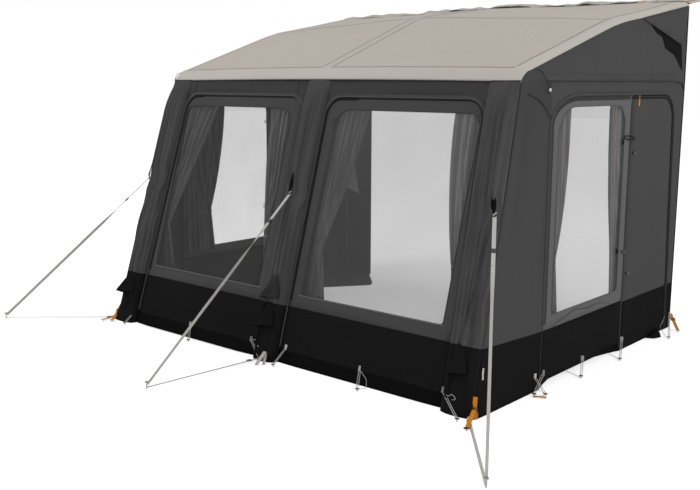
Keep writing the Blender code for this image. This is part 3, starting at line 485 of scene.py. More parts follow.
# Roof canopy. Pale coated cloth, one sheet sewn from wide panels: a band along the eave, a band over each
# side beam and a narrow band over the middle one. It turns down at the eave and rolls over the side beams.
FLOOR_SETBACK = 0.04
EAVE_SETBACK = 0.585
EAVE_HEIGHT = 1.865
EAVE_HALF_WIDTH = 1.573
KNEE_SETBACK = 1.68
KNEE_HEIGHT = 2.236
KNEE_ROUNDING = 0.14
DEPTH = 2.675
REAR_HEIGHT = 2.41
REAR_HALF_WIDTH = 1.70
LIP_RUN = 0.09
LIP_RISE = 0.055
CROWN = 0.075
ROLL_WIDTH = 0.08
ROLL_RISE = 0.02
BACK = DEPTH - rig.box("right_rear_pad")[1][1]  # the front foot line stands this far in front of the origin


def mixed(a, b, share):
    return a + (b - a) * share


def at(x, y, z):
    """A point given by its distance behind the front foot line."""
    return Vector((x, y - BACK, z))


def side_x(y):
    return mixed(EAVE_HALF_WIDTH, REAR_HALF_WIDTH, (y - EAVE_SETBACK) / (DEPTH - EAVE_SETBACK))


def rim_height(y):
    """Lower edge of the canopy along the side."""
    lip_end = EAVE_SETBACK + LIP_RUN
    lip_top = EAVE_HEIGHT + LIP_RISE
    if y <= lip_end:
        return EAVE_HEIGHT + LIP_RISE * math.sin(math.pi / 2 * max(0.0, y - EAVE_SETBACK) / LIP_RUN)
    front = (KNEE_HEIGHT - lip_top) / (KNEE_SETBACK - lip_end)
    rear = (REAR_HEIGHT - KNEE_HEIGHT) / (DEPTH - KNEE_SETBACK)
    past = y - KNEE_SETBACK
    if past <= -KNEE_ROUNDING:
        return KNEE_HEIGHT + front * past
    if past >= KNEE_ROUNDING:
        return KNEE_HEIGHT + rear * past
    share = (past + KNEE_ROUNDING) / (2 * KNEE_ROUNDING)
    start_height = KNEE_HEIGHT - front * KNEE_ROUNDING
    return start_height + 2 * KNEE_ROUNDING * share * (front + (rear - front) * share / 2)


def crown(y):
    """How far the canopy's middle stands above its rim."""
    if y < KNEE_SETBACK:
        return mixed(0.01, CROWN, (y - EAVE_SETBACK) / (KNEE_SETBACK - EAVE_SETBACK))
    return mixed(CROWN, 0.025, (y - KNEE_SETBACK) / (DEPTH - KNEE_SETBACK))


def roof_height(x, y):
    """The canopy's outer face, with the beams showing through and the cloth sagging a little between them."""
    rise = ROLL_RISE * math.sin(math.pi / 2 * min(1.0, max(0.0, y - EAVE_SETBACK) / LIP_RUN))
    edge = side_x(y)
    inner = edge - ROLL_WIDTH
    x = abs(x)
    if x > inner:
        over = min(1.0, (x - inner) / (ROLL_WIDTH - 0.003))
        return rim_height(y) + rise * math.sqrt(1 - over**2)
    height = rim_height(y) + rise + crown(y) * (1 - (x / inner) ** 2)
    slack = min(1.0, max(0.0, y - EAVE_SETBACK - 0.05) / 0.3)
    beams = 0.004 * math.exp(-((x / 0.05) ** 2)) + 0.003 * math.exp(-(((x - edge + 0.11) / 0.05) ** 2))
    sag = 0.011 * math.sin(math.pi * min(1.0, x / (inner - 0.06))) ** 2 if x < inner - 0.06 else 0.0
    ruck = 0.0025 * noise.noise(Vector((x * 2.2, y * 3.1, 4.0)))
    return height + slack * (beams - sag + ruck)


CLOTH_THICKNESS = 0.0012


def thicken(piece, thickness):
    wall = piece.modifiers.new("wall", "SOLIDIFY")
    wall.thickness = thickness
    wall.offset = -1
    return piece


def grid_piece(name, rows, thickness=CLOTH_THICKNESS, outside=1):
    """Cloth through a grid of points. Its thickness is on the inner side; outside turns it over."""
    width = len(rows[0])
    points = [p for row in rows for p in row]
    faces = []
    for r in range(len(rows) - 1):
        for c in range(width - 1):
            a = r * width + c
            cell = (a, a + 1, a + width + 1, a + width)
            faces.append(cell if outside > 0 else cell[::-1])
    mapping = []
    up = 0.0
    for r, row in enumerate(rows):
        up += (row[width // 2] - rows[r - 1][width // 2]).length if r else 0.0
        across = 0.0
        for c, p in enumerate(row):
            across += (p - row[c - 1]).length if c else 0.0
            mapping.append((across, up))
    return thicken(mesh_piece(name, points, faces, True, mapping), thickness)


def patched(piece, material, where):
    """Gives the faces that where picks a second material."""
    piece.data.materials.append(material)
    for face in piece.data.polygons:
        face.material_index = int(where(face))


def area_of(piece):
    return sum(face.area for face in piece.data.polygons)


def declare(piece, width, length, held, rests_on):
    """Says that the piece is cloth cut to this size; its own area is the area of the cut."""
    area = area_of(piece)
    width *= max(1.0, area / (width * length))
    area = min(width * length, max(0.301 * width * length, area))
    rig.sheet(piece, flat=(width, length), held=held, rests_on=rests_on, area=area)


roof_cloth = woven("roof_cloth", (0.475, 0.44, 0.40), 0.78, crease=0.003, crease_scale=2.2, shift=0.035)
roof_band_cloth = woven("roof_band_cloth", (0.505, 0.475, 0.435), 0.78, crease=0.003, crease_scale=5.0,
                        shift=0.03)
EAVE_BAND = 0.65
SIDE_BAND = 0.088
MIDDLE_BAND = 0.045
SIDE_STOPS = (0.15, 0.3, 0.45, 0.56, 0.65, 0.73, 0.8, 0.86, 0.91, 0.95, 0.98, 1.0)
roof_ys = [mixed(EAVE_SETBACK, EAVE_BAND, step / 6) for step in range(7)]
roof_ys += [mixed(EAVE_BAND, EAVE_SETBACK + LIP_RUN, step / 2) for step in (1, 2)]
roof_ys += [mixed(EAVE_SETBACK + LIP_RUN, DEPTH, step / 58) for step in range(1, 59)]
roof_shares = [step / 34 for step in range(-34, 35)]
rows = []
for y in roof_ys:
    edge = side_x(y)
    inner = edge - SIDE_BAND
    xs = [inner * share for share in roof_shares]
    band = [inner + (edge - inner) * share for share in SIDE_STOPS]
    xs = [-x for x in reversed(band)] + xs + band
    hem = [at(-edge - 0.001, y, rim_height(y) - 0.012)]
    hem += [at(x, y, roof_height(x, y)) for x in xs]
    hem += [at(edge + 0.001, y, rim_height(y) - 0.012)]
    rows.append(hem)
rows.insert(0, [p + Vector((0, -0.0035, -0.014)) for p in rows[0]])
canopy = grid_piece("roof_canopy_cloth", rows)
keep(canopy, "awning", "roof_cloth", roof_cloth, ["roof_canopy"])


def in_band(face):
    y = face.center.y + BACK
    return y < EAVE_BAND or abs(face.center.x) > side_x(y) - SIDE_BAND


patched(canopy, roof_band_cloth, in_band)
declare(canopy, 3.5, 2.4, "stretched", ["left_air_beam", "middle_air_beam", "right_air_beam"])

rods = bpy.data.node_groups.new("rods_in_a_row", "GeometryNodeTree")
for label, kind in (("Line", "Geometry"), ("Spacing", "Float"), ("Length", "Float"), ("Radius", "Float"),
                    ("Finish", "Material")):
    rods.interface.new_socket(label, in_out="INPUT", socket_type="NodeSocket" + kind)
rods.interface.new_socket("Rods", in_out="OUTPUT", socket_type="NodeSocketGeometry")
given = rods.nodes.new("NodeGroupInput").outputs
given = {label: Shade(rods, given[label]) for label in ("Line", "Spacing", "Length", "Radius", "Finish")}
row = given["Line"].node("GeometryNodeMeshToCurve", {}, {"Mesh": given["Line"]})
row = row.node("GeometryNodeResampleCurve", {"mode": "LENGTH"}, {"Curve": row, "Length": given["Spacing"]})
lie = row.node("GeometryNodeInputNamedAttribute", {"data_type": "FLOAT_VECTOR"}, {"Name": "lie"})
turn = row.node("FunctionNodeAlignRotationToVector", {"axis": "Z"}, {"Vector": lie})
size = {"Vertices": 4, "Radius": given["Radius"], "Depth": given["Length"]}
rod = row.node("GeometryNodeMeshCylinder", {}, size)
row = row.node("GeometryNodeInstanceOnPoints", {}, {"Points": row, "Instance": rod, "Rotation": turn})
row = row.node("GeometryNodeRealizeInstances", {}, {"Geometry": row})
row = row.node("GeometryNodeSetMaterial", {}, {"Geometry": row, "Material": given["Finish"]})
rods.links.new(row.socket, rods.nodes.new("NodeGroupOutput").inputs["Rods"])


def rods_along(name, lines, spacing, length, radius, material, lie=None):
    """Short rods in rows along lines: stitches lie along the line, teeth and rungs the way that lie says."""
    points = [p for line in lines for p in line]
    edges = []
    directions = []
    for line in lines:
        base = len(directions)
        edges += [(base + i, base + i + 1) for i in range(len(line) - 1)]
        for i in range(len(line)):
            directions.append(lie or line[min(i + 1, len(line) - 1)] - line[max(i - 1, 0)])
    mesh = bpy.data.meshes.new(name + "_line")
    mesh.from_pydata([tuple(p) for p in points], edges, [])
    layer = mesh.attributes.new("lie", "FLOAT_VECTOR", "POINT")
    for value, direction in zip(layer.data, directions):
        value.vector = direction
    carrier = placed_mesh(name + "_line", mesh)
    modifier = carrier.modifiers.new("rods", "NODES")
    modifier.node_group = rods
    inputs = {"Spacing": spacing, "Length": length, "Radius": radius, "Finish": material}
    for socket in rods.interface.items_tree:
        if socket.name in inputs:
            modifier[socket.identifier] = inputs[socket.name]
    return settled(carrier, name)


def on_roof(x, y):
    return at(x, y, roof_height(x, y) + 0.0008)


seam_cloth = woven("roof_seam_cloth", (0.30, 0.28, 0.255), 0.8, crease=0.0004, crease_scale=40)
thread = finish("pale_thread", (0.36, 0.34, 0.31), 0.7)[0]
roof_seams = []
for at_edge, hand in ((True, 1), (True, -1), (False, 1), (False, -1)):
    line = []
    for y in (mixed(EAVE_BAND, DEPTH - 0.005, step / 70) for step in range(71)):
        line.append(on_roof(hand * (side_x(y) - SIDE_BAND if at_edge else MIDDLE_BAND), y))
    roof_seams.append((line, Vector((1, 0, 0))))
knee_end = side_x(KNEE_SETBACK) - SIDE_BAND
CROSS_SEAMS = (
    (EAVE_BAND, -1.487, -MIDDLE_BAND, 0.3),
    (EAVE_BAND, MIDDLE_BAND, 1.487, 0.3),
    (KNEE_SETBACK, -MIDDLE_BAND, -knee_end, 0.2),
    (KNEE_SETBACK, MIDDLE_BAND, knee_end, 0.2),
)
for y, start_x, end_x, lean in CROSS_SEAMS:
    line = [on_roof(mixed(start_x, end_x, step / 50), y) for step in range(51)]
    roof_seams.append((line, Vector((0, 1, lean))))
stitch_lines = []
for index, (line, across) in enumerate(roof_seams):
    taped(f"roof_seam_{index + 1}", line, across, 0.005, 0.0012, "roof_cloth", seam_cloth)
    step_out = across.normalized() * 0.005
    stitch_lines += [[p + step_out for p in line], [p - step_out for p in line]]
STITCH = (0.008, 0.005, 0.0007)  # from one stitch to the next, its length and its radius
keep(rods_along("roof_stitches", stitch_lines, *STITCH, thread), "awning", "roof_cloth")


# Rear rail strip. A limp strip of the roof's own cloth, black beneath, with a round bead sewn in its edge
# that slides into the vehicle's rail. It waves where nothing holds it, and its corners run out past the
# walls.
STRIP_LENGTH = 0.13
STRIP_GAP = 0.0004
rows = []
for index in range(121):
    share = index / 60 - 1
    root_x = REAR_HALF_WIDTH * share
    tip_x = root_x + 0.045 * share**5
    free = 1 - abs(share) ** 4
    wave = 0.028 + 0.008 * math.sin(math.pi * 5 * share) * free
    wave += 0.022 * noise.noise(Vector((share * 13, 2.0, 1.0))) * free
    root = at(root_x, DEPTH + STRIP_GAP, roof_height(root_x, DEPTH) - 0.0001)
    row = []
    for step in range(9):
        out = step / 8
        bow = 0.006 * math.sin(math.pi * out) * math.sin(7 * math.pi * share)
        x = mixed(root_x, tip_x, out)
        row.append(Vector((x, root.y + STRIP_LENGTH * out, root.z + wave * out + bow)))
    rows.append(row)
strip = grid_piece("rear_strip_cloth", rows, 0.0015, outside=-1)
strip_black = woven("rear_strip_black", (0.012, 0.012, 0.012), 0.7, crease=0.001, crease_scale=12)
keep(strip, "awning", "roof_cloth", roof_cloth, ["rear_rail_strip"])


def turned_up(face):
    along = face.center.x / REAR_HALF_WIDTH
    patch = 3 + 4 * noise.noise(Vector((along * 9, 5.0, 1.0))) if -0.25 < along < 0.86 else 1
    return face.index % 8 < patch


patched(strip, strip_black, turned_up)
declare(strip, 3.4, 0.135, "hung", [canopy])
bead_cloth = woven("bead_cloth", (0.42, 0.40, 0.37), 0.6, crease=0.0005, crease_scale=30)
orange = woven("orange_tape", (0.60, 0.22, 0.022), 0.8, pitch=0.0018, crease=0.0002, crease_scale=40)
for number, share in enumerate((-0.978, -0.77, 0.77, 0.978)):
    over = [p + Vector((0, 0, 0.0012)) for p in rows[round(60 * (share + 1))]]
    taped(f"strip_mark_{number + 1}", over, Vector((1, 0, 0)), 0.012, 0.0008, "orange_tape", orange)
corded("rear_strip_bead", [[row[-1] for row in rows]], 0.0037, "roof_cloth", bead_cloth)


# Air beams. Inflated tubes in a woven jacket, one up each leg and back under the roof, with end caps.
# They hold the awning up in place of poles.
LEGS = (("left", -1), ("middle", 0), ("right", 1))
SIDES = (("left", -1), ("right", 1))
BEAM_RADIUS = 0.055
BEND_REACH = 0.22
FRONT_SLOPE = (EAVE_SETBACK - FLOOR_SETBACK) / EAVE_HEIGHT
FRONT_ANGLE = math.atan(FRONT_SLOPE)
SLEEVE_HALF_WIDTH = 0.105
SLEEVE_FLARE = 0.09
beam_cloth = woven("beam_jacket", (0.20, 0.20, 0.205), 0.7, crease=0.001, crease_scale=9)


def leg_x(height, at_side):
    eave = EAVE_HALF_WIDTH - SLEEVE_HALF_WIDTH
    return at_side * mixed(eave + SLEEVE_FLARE, eave, height / EAVE_HEIGHT)


def beam_path(at_side):
    """The beam's middle line, from its foot up the leg, round the bend and back under the roof."""
    def roof_axis(y):
        x = at_side * (side_x(y) - 0.10)
        slope = (rim_height(y + 0.001) - rim_height(y - 0.001)) / 0.002
        drop = 0.006 + BEAM_RADIUS * math.sqrt(1 + slope * slope)
        top = rim_height(y) + ROLL_RISE + crown(y) * (1 - (x / (side_x(y) - ROLL_WIDTH)) ** 2)
        return Vector((x, y, top - drop))

    def leg_axis(z):
        return Vector((leg_x(z, at_side), FLOOR_SETBACK + z * FRONT_SLOPE, z))

    first = EAVE_SETBACK + LIP_RUN + BEND_REACH
    begin = roof_axis(first)
    direction = (roof_axis(first + BEND_REACH) - begin).normalized()
    rise = direction.z / direction.y
    corner_z = (begin.z - rise * (begin.y - FLOOR_SETBACK)) / (1 - rise * FRONT_SLOPE)
    aside = mixed(leg_x(corner_z, at_side), begin.x, 0.5)
    corner = Vector((aside, FLOOR_SETBACK + corner_z * FRONT_SLOPE, corner_z))
    foot = leg_axis(BEAM_RADIUS * math.sin(FRONT_ANGLE) + 0.0036)
    bend = leg_axis(corner_z - BEND_REACH * math.cos(FRONT_ANGLE))
    leave = corner + (begin - corner).normalized() * BEND_REACH
    path = [foot.lerp(bend, step / 10) for step in range(10)]
    for step in range(13):
        share = step / 12
        path.append(bend * (1 - share) ** 2 + corner * 2 * share * (1 - share) + leave * share**2)
    path += [roof_axis(mixed(leave.y + 0.06, DEPTH - 0.075, step / 16)) for step in range(17)]
    return [at(*p) for p in path]


def tube_rings(path, radii, sides):
    turns = [2 * math.pi * i / sides for i in range(sides)]
    rings = []
    for index, p in enumerate(path):
        ahead = (path[min(index + 1, len(path) - 1)] - path[max(index - 1, 0)]).normalized()
        up = Vector((1, 0, 0)).cross(ahead).normalized()
        across = ahead.cross(up).normalized()
        rings.append([p + (across * math.cos(t) + up * math.sin(t)) * radii[index] for t in turns])
    return rings


for side, at_side in LEGS:
    path = beam_path(at_side)
    head = (path[1] - path[0]).normalized()
    tail = (path[-1] - path[-2]).normalized()
    path = [path[0], path[0] + head * 0.012] + path[1:-1] + [path[-1] - tail * 0.012, path[-1]]
    radii = [BEAM_RADIUS * 0.8, BEAM_RADIUS * 0.985] + [BEAM_RADIUS] * (len(path) - 4)
    radii += [BEAM_RADIUS * 0.985, BEAM_RADIUS * 0.8]
    beam = swept(f"{side}_beam_jacket", tube_rings(path, radii, 28))
    keep(beam, "awning", "air_tube", beam_cloth, [f"{side}_air_beam"])


# Leg sleeves. The front wall's own dark cloth, sewn round each beam as a loose tube with soft lengthwise
# folds. Its copy on the legs is a little darker, with strong upright streaks: painted shade in the folds.
# The lowest part is the heavy black cloth of the mudwall. A thin piped edge runs up each side.
MUD_HEIGHT = 0.365
UNDER_RIM = 0.0036
SLEEVE_RISE = 0.0584
HEM_STRIP = 0.085
WALL = (0.062, 0.062, 0.0635)
MUD = (0.0105, 0.0105, 0.0105)
wall_cloth = woven("wall_cloth", WALL, 0.82, crease=0.004, crease_scale=3.2, shift=0.09)
# The legs' copy of the wall cloth, a little darker and with strong upright streaks: painted shade in the folds.
LEG = tuple(colour * 0.97 for colour in WALL)
leg_cloth = woven("leg_cloth", LEG, 0.82, crease=0.004, crease_scale=3.2, shift=0.3, streaks=2.4)
mud_cloth = woven("mud_cloth", MUD, 0.8, pitch=0.0016, crease=0.004, crease_scale=4.0, shift=0.25, gloss=0.01)
HEM = (0.0055, 0.0055, 0.0055)
# Black cloth for the hem, darker still; the guy anchors' folds also use it as painted shade.
hem_cloth = woven("hem_cloth", HEM, 0.8, pitch=0.0016, crease=0.004, shift=0.1, gloss=0.01)
coating = woven("coating", (0.05, 0.05, 0.052), 0.85, crease=0.003, shift=0.05)
piping_cloth = woven("piping_cloth", (0.035, 0.035, 0.036), 0.7, crease=0.0003, crease_scale=60)


def lining(piece):
    """Gives the inner side of black cloth its grey coating."""
    piece.data.materials.append(coating)
    piece.modifiers["wall"].material_offset = 2


class Plane:
    """A flat cloth panel's own axes: u along it, v up it, w out of it."""

    def __init__(self, origin, along, up):
        self.origin = Vector(origin)
        self.u = Vector(along).normalized()
        self.v = Vector(up).normalized()
        self.w = self.u.cross(self.v).normalized()

    def at(self, u, v, w=0.0):
        return self.origin + self.u * u + self.v * v + self.w * w


front = Plane((0, FLOOR_SETBACK - BACK, 0), (1, 0, 0), (0, FRONT_SLOPE, 1))


def up_front(height):
    return height / math.cos(FRONT_ANGLE)


def beam_reach(at_side):
    """How far the beam stands out of the front wall at each distance up it."""
    path = beam_path(at_side)
    found = []
    for index in range(1, len(path) - 1):
        ahead = (path[index + 1] - path[index - 1]).normalized()
        out = Vector((1, 0, 0)).cross(ahead)
        out = -out if out.y > 0 else out
        edge = path[index] + out.normalized() * BEAM_RADIUS - front.origin
        found.append((edge.dot(front.v), edge.dot(front.w)))
    return found


def foot_flare(height):
    """How far an outer leg's cloth spreads outwards just above the ground."""
    return 0.038 * max(0.0, 1 - height / 0.13) ** 1.5


def bump_at(place, width):
    """A rounded hump that is 1 where place is 0, and fades over this width."""
    return math.exp(-((place / width) ** 2))


SLEEVE_TOP = up_front(EAVE_HEIGHT - UNDER_RIM)
# The sleeve's edges behind the neighbouring cloths: how far out from the beam's middle, and how far back.
OUTER_SKIRT = ((0.1032, -0.0035), (0.103, -0.014))
INNER_SKIRT = ((0.105, -0.003), (0.112, -0.005))
for side, at_side in LEGS:
    reach = beam_reach(at_side)
    pull = Vector(GUYS[side][0]) - front.origin
    pull_v = pull.dot(front.v)
    pull_share = (pull.x - leg_x(pull_v * math.cos(FRONT_ANGLE), at_side)) / SLEEVE_HALF_WIDTH
    levels = [up_front(MUD_HEIGHT) * step / 10 for step in range(10)]
    levels += [mixed(up_front(MUD_HEIGHT), SLEEVE_TOP, step / 48) for step in range(49)]
    rows = []
    for v in levels:
        beam_out = BEAM_RADIUS
        for (v0, out0), (v1, out1) in zip(reach, reach[1:]):
            if v0 <= v <= v1:
                beam_out = min(BEAM_RADIUS, mixed(out0, out1, (v - v0) / (v1 - v0)))
        rise = min(SLEEVE_RISE, beam_out + 0.0038)
        loose = min(1.0, v / 0.12) * min(1.0, (SLEEVE_TOP - v) / 0.25)
        loose *= min(1.0, 0.15 + abs(v - pull_v) / 0.12)
        drift = 1.6 * noise.noise(Vector((v * 0.7, at_side * 7.0, 0)))
        below = min(1.0, v / pull_v)
        groove = mixed(-0.45 * (at_side or 1), pull_share, below)
        row = []
        for step in range(65):
            turn = math.pi * step / 64
            across = -math.cos(turn)
            depth = math.sin(turn)
            fold = 0.5 + 0.45 * math.sin(across * 9 + drift)
            fold += 0.3 * math.sin(across * 19 + 2 * drift + v * 0.5)
            fold += 0.5 * noise.noise(Vector((across * 2.6, v * 2.4, at_side * 3.0)))
            if v < pull_v:
                fold += 0.9 * bump_at(across - groove - 0.2, 0.10)
                fold += 0.9 * bump_at(across - groove + 0.2, 0.10)
                fold *= 1 - bump_at(across - groove, 0.09)
            else:
                fold += 1.3 * bump_at(across - pull_share * 0.85, 0.13)
            out = rise * depth ** mixed(0.62, 1.25, max(0.0, v / SLEEVE_TOP) ** 3)
            out += 0.0105 * max(0.0, fold) * loose * min(1.0, depth * 1.6)
            aside = across * SLEEVE_HALF_WIDTH
            if abs(aside) < BEAM_RADIUS:
                over_beam = beam_out - BEAM_RADIUS + math.sqrt(BEAM_RADIUS**2 - aside**2)
                out = max(out, over_beam + 0.0022)
            level = v if v > 0.02 else v - out * math.tan(FRONT_ANGLE) * (1 - v / 0.02)
            centre = leg_x(level * math.cos(FRONT_ANGLE), at_side)
            spread = foot_flare(v) * max(0.0, across * at_side) * at_side
            row.append(front.at(centre + aside + spread, level, out))
        for hand in (-1, 1):
            flare = foot_flare(v) if hand == at_side else 0.0
            for reach_out, back in OUTER_SKIRT if hand == at_side else INNER_SKIRT:
                place = front.at(centre + hand * (reach_out + flare), v, back)
                row.insert(0 if hand < 0 else len(row), place)
        rows.append(row)
    sleeve = grid_piece(f"{side}_leg_cloth", rows)
    keep(sleeve, "awning", "wall_cloth", leg_cloth, [f"{side}_leg_sleeve"])
    patched(sleeve, mud_cloth, lambda face: face.index < 10 * (len(rows[0]) - 1))
    declare(sleeve, 0.29, 1.95, "stretched", [f"{side}_air_beam"])


# Front bays. Above, a header of wall cloth, painted darker as shade, ends in a curved rain flap over the zip.
# Below it a window panel zips out, with a clear film window welded in. Its lower edge meets the black mudwall,
# which turns in along the ground.
SEAM_GAP = 0.0006
FILM_GAP = 0.0004
FILM_THICKNESS = 0.0006
BAY_TOP = EAVE_HEIGHT - 0.117
PANE_LOW = MUD_HEIGHT + 0.087
PANE_HIGH = BAY_TOP - 0.086
BAY_CORNER = 0.13


def rounded(corners, radii, steps=10):
    outline = []
    for index, radius in enumerate(radii):
        corner = Vector(corners[index])
        before = (Vector(corners[index - 1]) - corner).normalized()
        after = (Vector(corners[(index + 1) % len(corners)]) - corner).normalized()
        if not radius:
            outline.append(corner)
            continue
        half = before.angle(after) / 2
        centre = corner + (before + after).normalized() * (radius / math.sin(half))
        begin = corner + before * (radius / math.tan(half)) - centre
        end = corner + after * (radius / math.tan(half)) - centre
        sweep = math.pi - 2 * half
        for step in range(steps + 1):
            share = step / steps
            turned = begin * math.sin((1 - share) * sweep) + end * math.sin(share * sweep)
            outline.append(centre + turned / math.sin(sweep))
    return outline


def moved_in(line, distance, closed=True):
    """The line moved to its left by this distance."""
    moved = []
    count = len(line)
    for i, p in enumerate(line):
        before = line[i - 1] if closed or i else line[i]
        after = line[(i + 1) % count] if closed or i < count - 1 else line[i]
        first = (p - before).normalized() if p != before else (after - p).normalized()
        second = (after - p).normalized() if after != p else first
        ahead = (first + second).normalized()
        left = Vector((-ahead.y, ahead.x))
        moved.append(p + left * distance / max(0.5, left.dot(Vector((-first.y, first.x)))))
    return moved


def edge_distance(p, loops):
    nearest = 9.0
    for loop in loops:
        for i, a in enumerate(loop):
            b = loop[(i + 1) % len(loop)]
            run = b - a
            share = min(1.0, max(0.0, (p - a).dot(run) / run.length_squared))
            nearest = min(nearest, (a + run * share - p).length)
    return nearest


def evenly(line, spacing=0.04):
    """The line with points put in between its own, no further apart than about this."""
    points = []
    for a, b in zip(line, line[1:]):
        count = max(1, round((b - a).length / spacing))
        points += [a.lerp(b, step / count) for step in range(count)]
    return points + [line[-1]]


def handed(points, hand):
    """The points on this hand's side of the awning. They are given for the right."""
    return [Vector((x * hand, y, z)) for x, y, z in points]


def cut_level(piece, height):
    """The piece's mesh for editing, cut across level at this height."""
    cut = bmesh.new()
    cut.from_mesh(piece.data)
    geometry = cut.verts[:] + cut.edges[:] + cut.faces[:]
    bmesh.ops.bisect_plane(cut, geom=geometry, plane_co=(0, 0, height), plane_no=(0, 0, 1))
    return cut


def cut_cloth(name, plane, outline, holes=(), hand=1, cell=0.06, belly=0.004, seed=0.0,
              thickness=CLOTH_THICKNESS):
    """Cloth cut to an outline, with a fine grid in it so that it can belly between its sewn edges."""
    loops = [[Vector((p[0], p[1])) for p in loop] for loop in (outline, *holes)]
    flat = bmesh.new()
    verts = [flat.verts.new((*p, 0)) for loop in loops for p in loop]
    for triangle in tessellate_polygon([[p.to_3d() for p in loop] for loop in loops]):
        flat.faces.new([verts[i] for i in triangle])
    for axis in (0, 1):
        low = min(p[axis] for p in loops[0])
        high = max(p[axis] for p in loops[0])
        count = max(1, int((high - low) / cell))
        normal = Vector((axis == 0, axis == 1, 0))
        for step in range(1, count):
            geometry = flat.verts[:] + flat.edges[:] + flat.faces[:]
            place = normal * mixed(low, high, step / count)
            bmesh.ops.bisect_plane(flat, geom=geometry, plane_co=place, plane_no=normal)
    bmesh.ops.remove_doubles(flat, verts=flat.verts, dist=0.0002)
    bmesh.ops.recalc_face_normals(flat, faces=flat.faces)
    if flat.faces[0].normal.z < 0:
        bmesh.ops.reverse_faces(flat, faces=flat.faces)
    layer = flat.loops.layers.uv.new("flat")
    for face in flat.faces:
        face.smooth = True
        for loop in face.loops:
            loop[layer].uv = loop.vert.co.xy
    for vert in flat.verts:
        p = vert.co.xy
        free = min(1.0, edge_distance(p, loops) / 0.12) if belly else 0.0
        out = noise.noise(Vector((p.x * 1.6, p.y * 1.1, seed)))
        out += 0.4 * noise.noise(Vector((p.x * 5, p.y * 3, seed + 5)))
        vert.co = handed([plane.at(p.x, p.y, belly * free * out)], hand)[0]
    if hand < 0:
        bmesh.ops.reverse_faces(flat, faces=flat.faces)
    mesh = bpy.data.meshes.new(name)
    flat.to_mesh(mesh)
    flat.free()
    return thicken(placed_mesh(name, mesh), thickness)


def laid(plane, line, hand=1, lift=0.0):
    """The flat line placed on the panel."""
    return handed([plane.at(p[0], p[1], lift) for p in line], hand)


def declare_flat(piece, held, rests_on):
    """Declares flat-cut cloth by the box round its own flat map."""
    layer = piece.data.uv_layers[0].data
    us = [corner.uv[0] for corner in layer]
    vs = [corner.uv[1] for corner in layer]
    declare(piece, max(us) - min(us), max(vs) - min(vs), held, rests_on)


# One clear film in every window; each copy has its own opacity, set to how bright the view through it looks, which
# paints the light on it. The opacity also rises a little with the waves: painted faint pale reflections.
films = {}
for name, painted_light_opacity in (("right_front", 0.32), ("right_side", 0.31), ("left_front", 0.16), ("left_side", 0.135)):
    film, start, shader = finish(name + "_film", (0.12, 0.12, 0.12), 0.22, Alpha=painted_light_opacity, IOR=1.5)
    shader.inputs["Specular IOR Level"].default_value = 0.04
    waves = start.noise(start.stretched(start.place(), (1.0, 1.0, 0.6)), 4.5, 2.0)
    feed(shader, Normal=start.bump(0.1, 0.006, waves), Alpha=waves * 0.04 + (painted_light_opacity - 0.02))
    films[name] = film
zip_tape = woven("zip_tape", (0.008, 0.008, 0.008), 0.7, crease=0.0001, crease_scale=60)
# Pale grey for the sill tape: a painted highlight.
weld = finish("film_weld", (0.17, 0.17, 0.17), 0.5)[0]


def bay_edges(height, clearance):
    return SLEEVE_HALF_WIDTH + clearance, leg_x(height, 1) - SLEEVE_HALF_WIDTH - clearance


def bay_outline(clearance):
    low = MUD_HEIGHT + SEAM_GAP
    top = BAY_TOP - clearance
    bottom = bay_edges(low, SEAM_GAP)
    high = bay_edges(top, SEAM_GAP)
    corners = [(bottom[0], up_front(low)), (bottom[1], up_front(low))]
    corners += [(high[1], up_front(top)), (high[0], up_front(top))]
    return rounded(corners, [0, 0, BAY_CORNER - clearance, BAY_CORNER - clearance])


def pane_outline(clearance):
    left, right = bay_edges(PANE_LOW, 0.11 + clearance)
    right += 0.028
    low = up_front(PANE_LOW) + clearance
    high = up_front(PANE_HIGH) - clearance
    return rounded([(left, low), (right, low), (right, high), (left, high)], [0.02, 0.02, 0.085, 0.11])


def rim_line():
    """The zip's outer edge: from the foot up the leg's side, round the arch and down to the other foot."""
    low = 0.10
    foot = bay_edges(low, 0.001)
    top = bay_edges(BAY_TOP, 0.001)
    corners = [(foot[1], up_front(low)), (top[1], up_front(BAY_TOP)), (top[0], up_front(BAY_TOP)),
               (foot[0], up_front(low))]
    return evenly(rounded(corners, [0, BAY_CORNER, BAY_CORNER, 0], 14))


def crosswise(line, normal):
    """The direction across a line at each of its points, in the plane with this normal."""
    sides = []
    for i in range(len(line)):
        ahead = line[min(i + 1, len(line) - 1)] - line[max(i - 1, 0)]
        sides.append(normal.cross(ahead).normalized())
    return sides


def zip_flap(name, plane, rim, reach, stand, hand, lowest=-1.0):
    """The curved flap that keeps rain off a zip. It is sewn down outside the rim, and stands up over it."""
    rows = []
    for edge, outer in zip(rim, moved_in(rim, -reach, closed=False)):
        if edge.y > lowest:
            across = (outer, edge.lerp(outer, 0.5), edge)
            rows.append([laid(plane, [p], hand, lift)[0] for p, lift in zip(across, (0.0005, *stand))])
    keep(grid_piece(name, rows, outside=-hand), "awning", "wall_cloth", wall_cloth)


def zip_run(name, placed, toothed, normal, width, tooth_radius, body, cloth):
    """A zip's tape and the row of teeth that stands on it."""
    taped(name + "_zip_tape", placed, crosswise(placed, normal), width, 0.0016, "black_plastic", cloth, body)
    teeth = rods_along(name + "_zip_teeth", [toothed], 0.004, 0.0026, tooth_radius, zip_teeth)
    keep(teeth, body, "black_plastic")


def welded(name, plane, outline, hand, body, cloth):
    """The raised line where a film is welded in."""
    line = laid(plane, outline, hand, 0.0012)
    corded(name, [line], 0.0016, "wall_cloth", cloth, body, cyclic=True, sides=1)


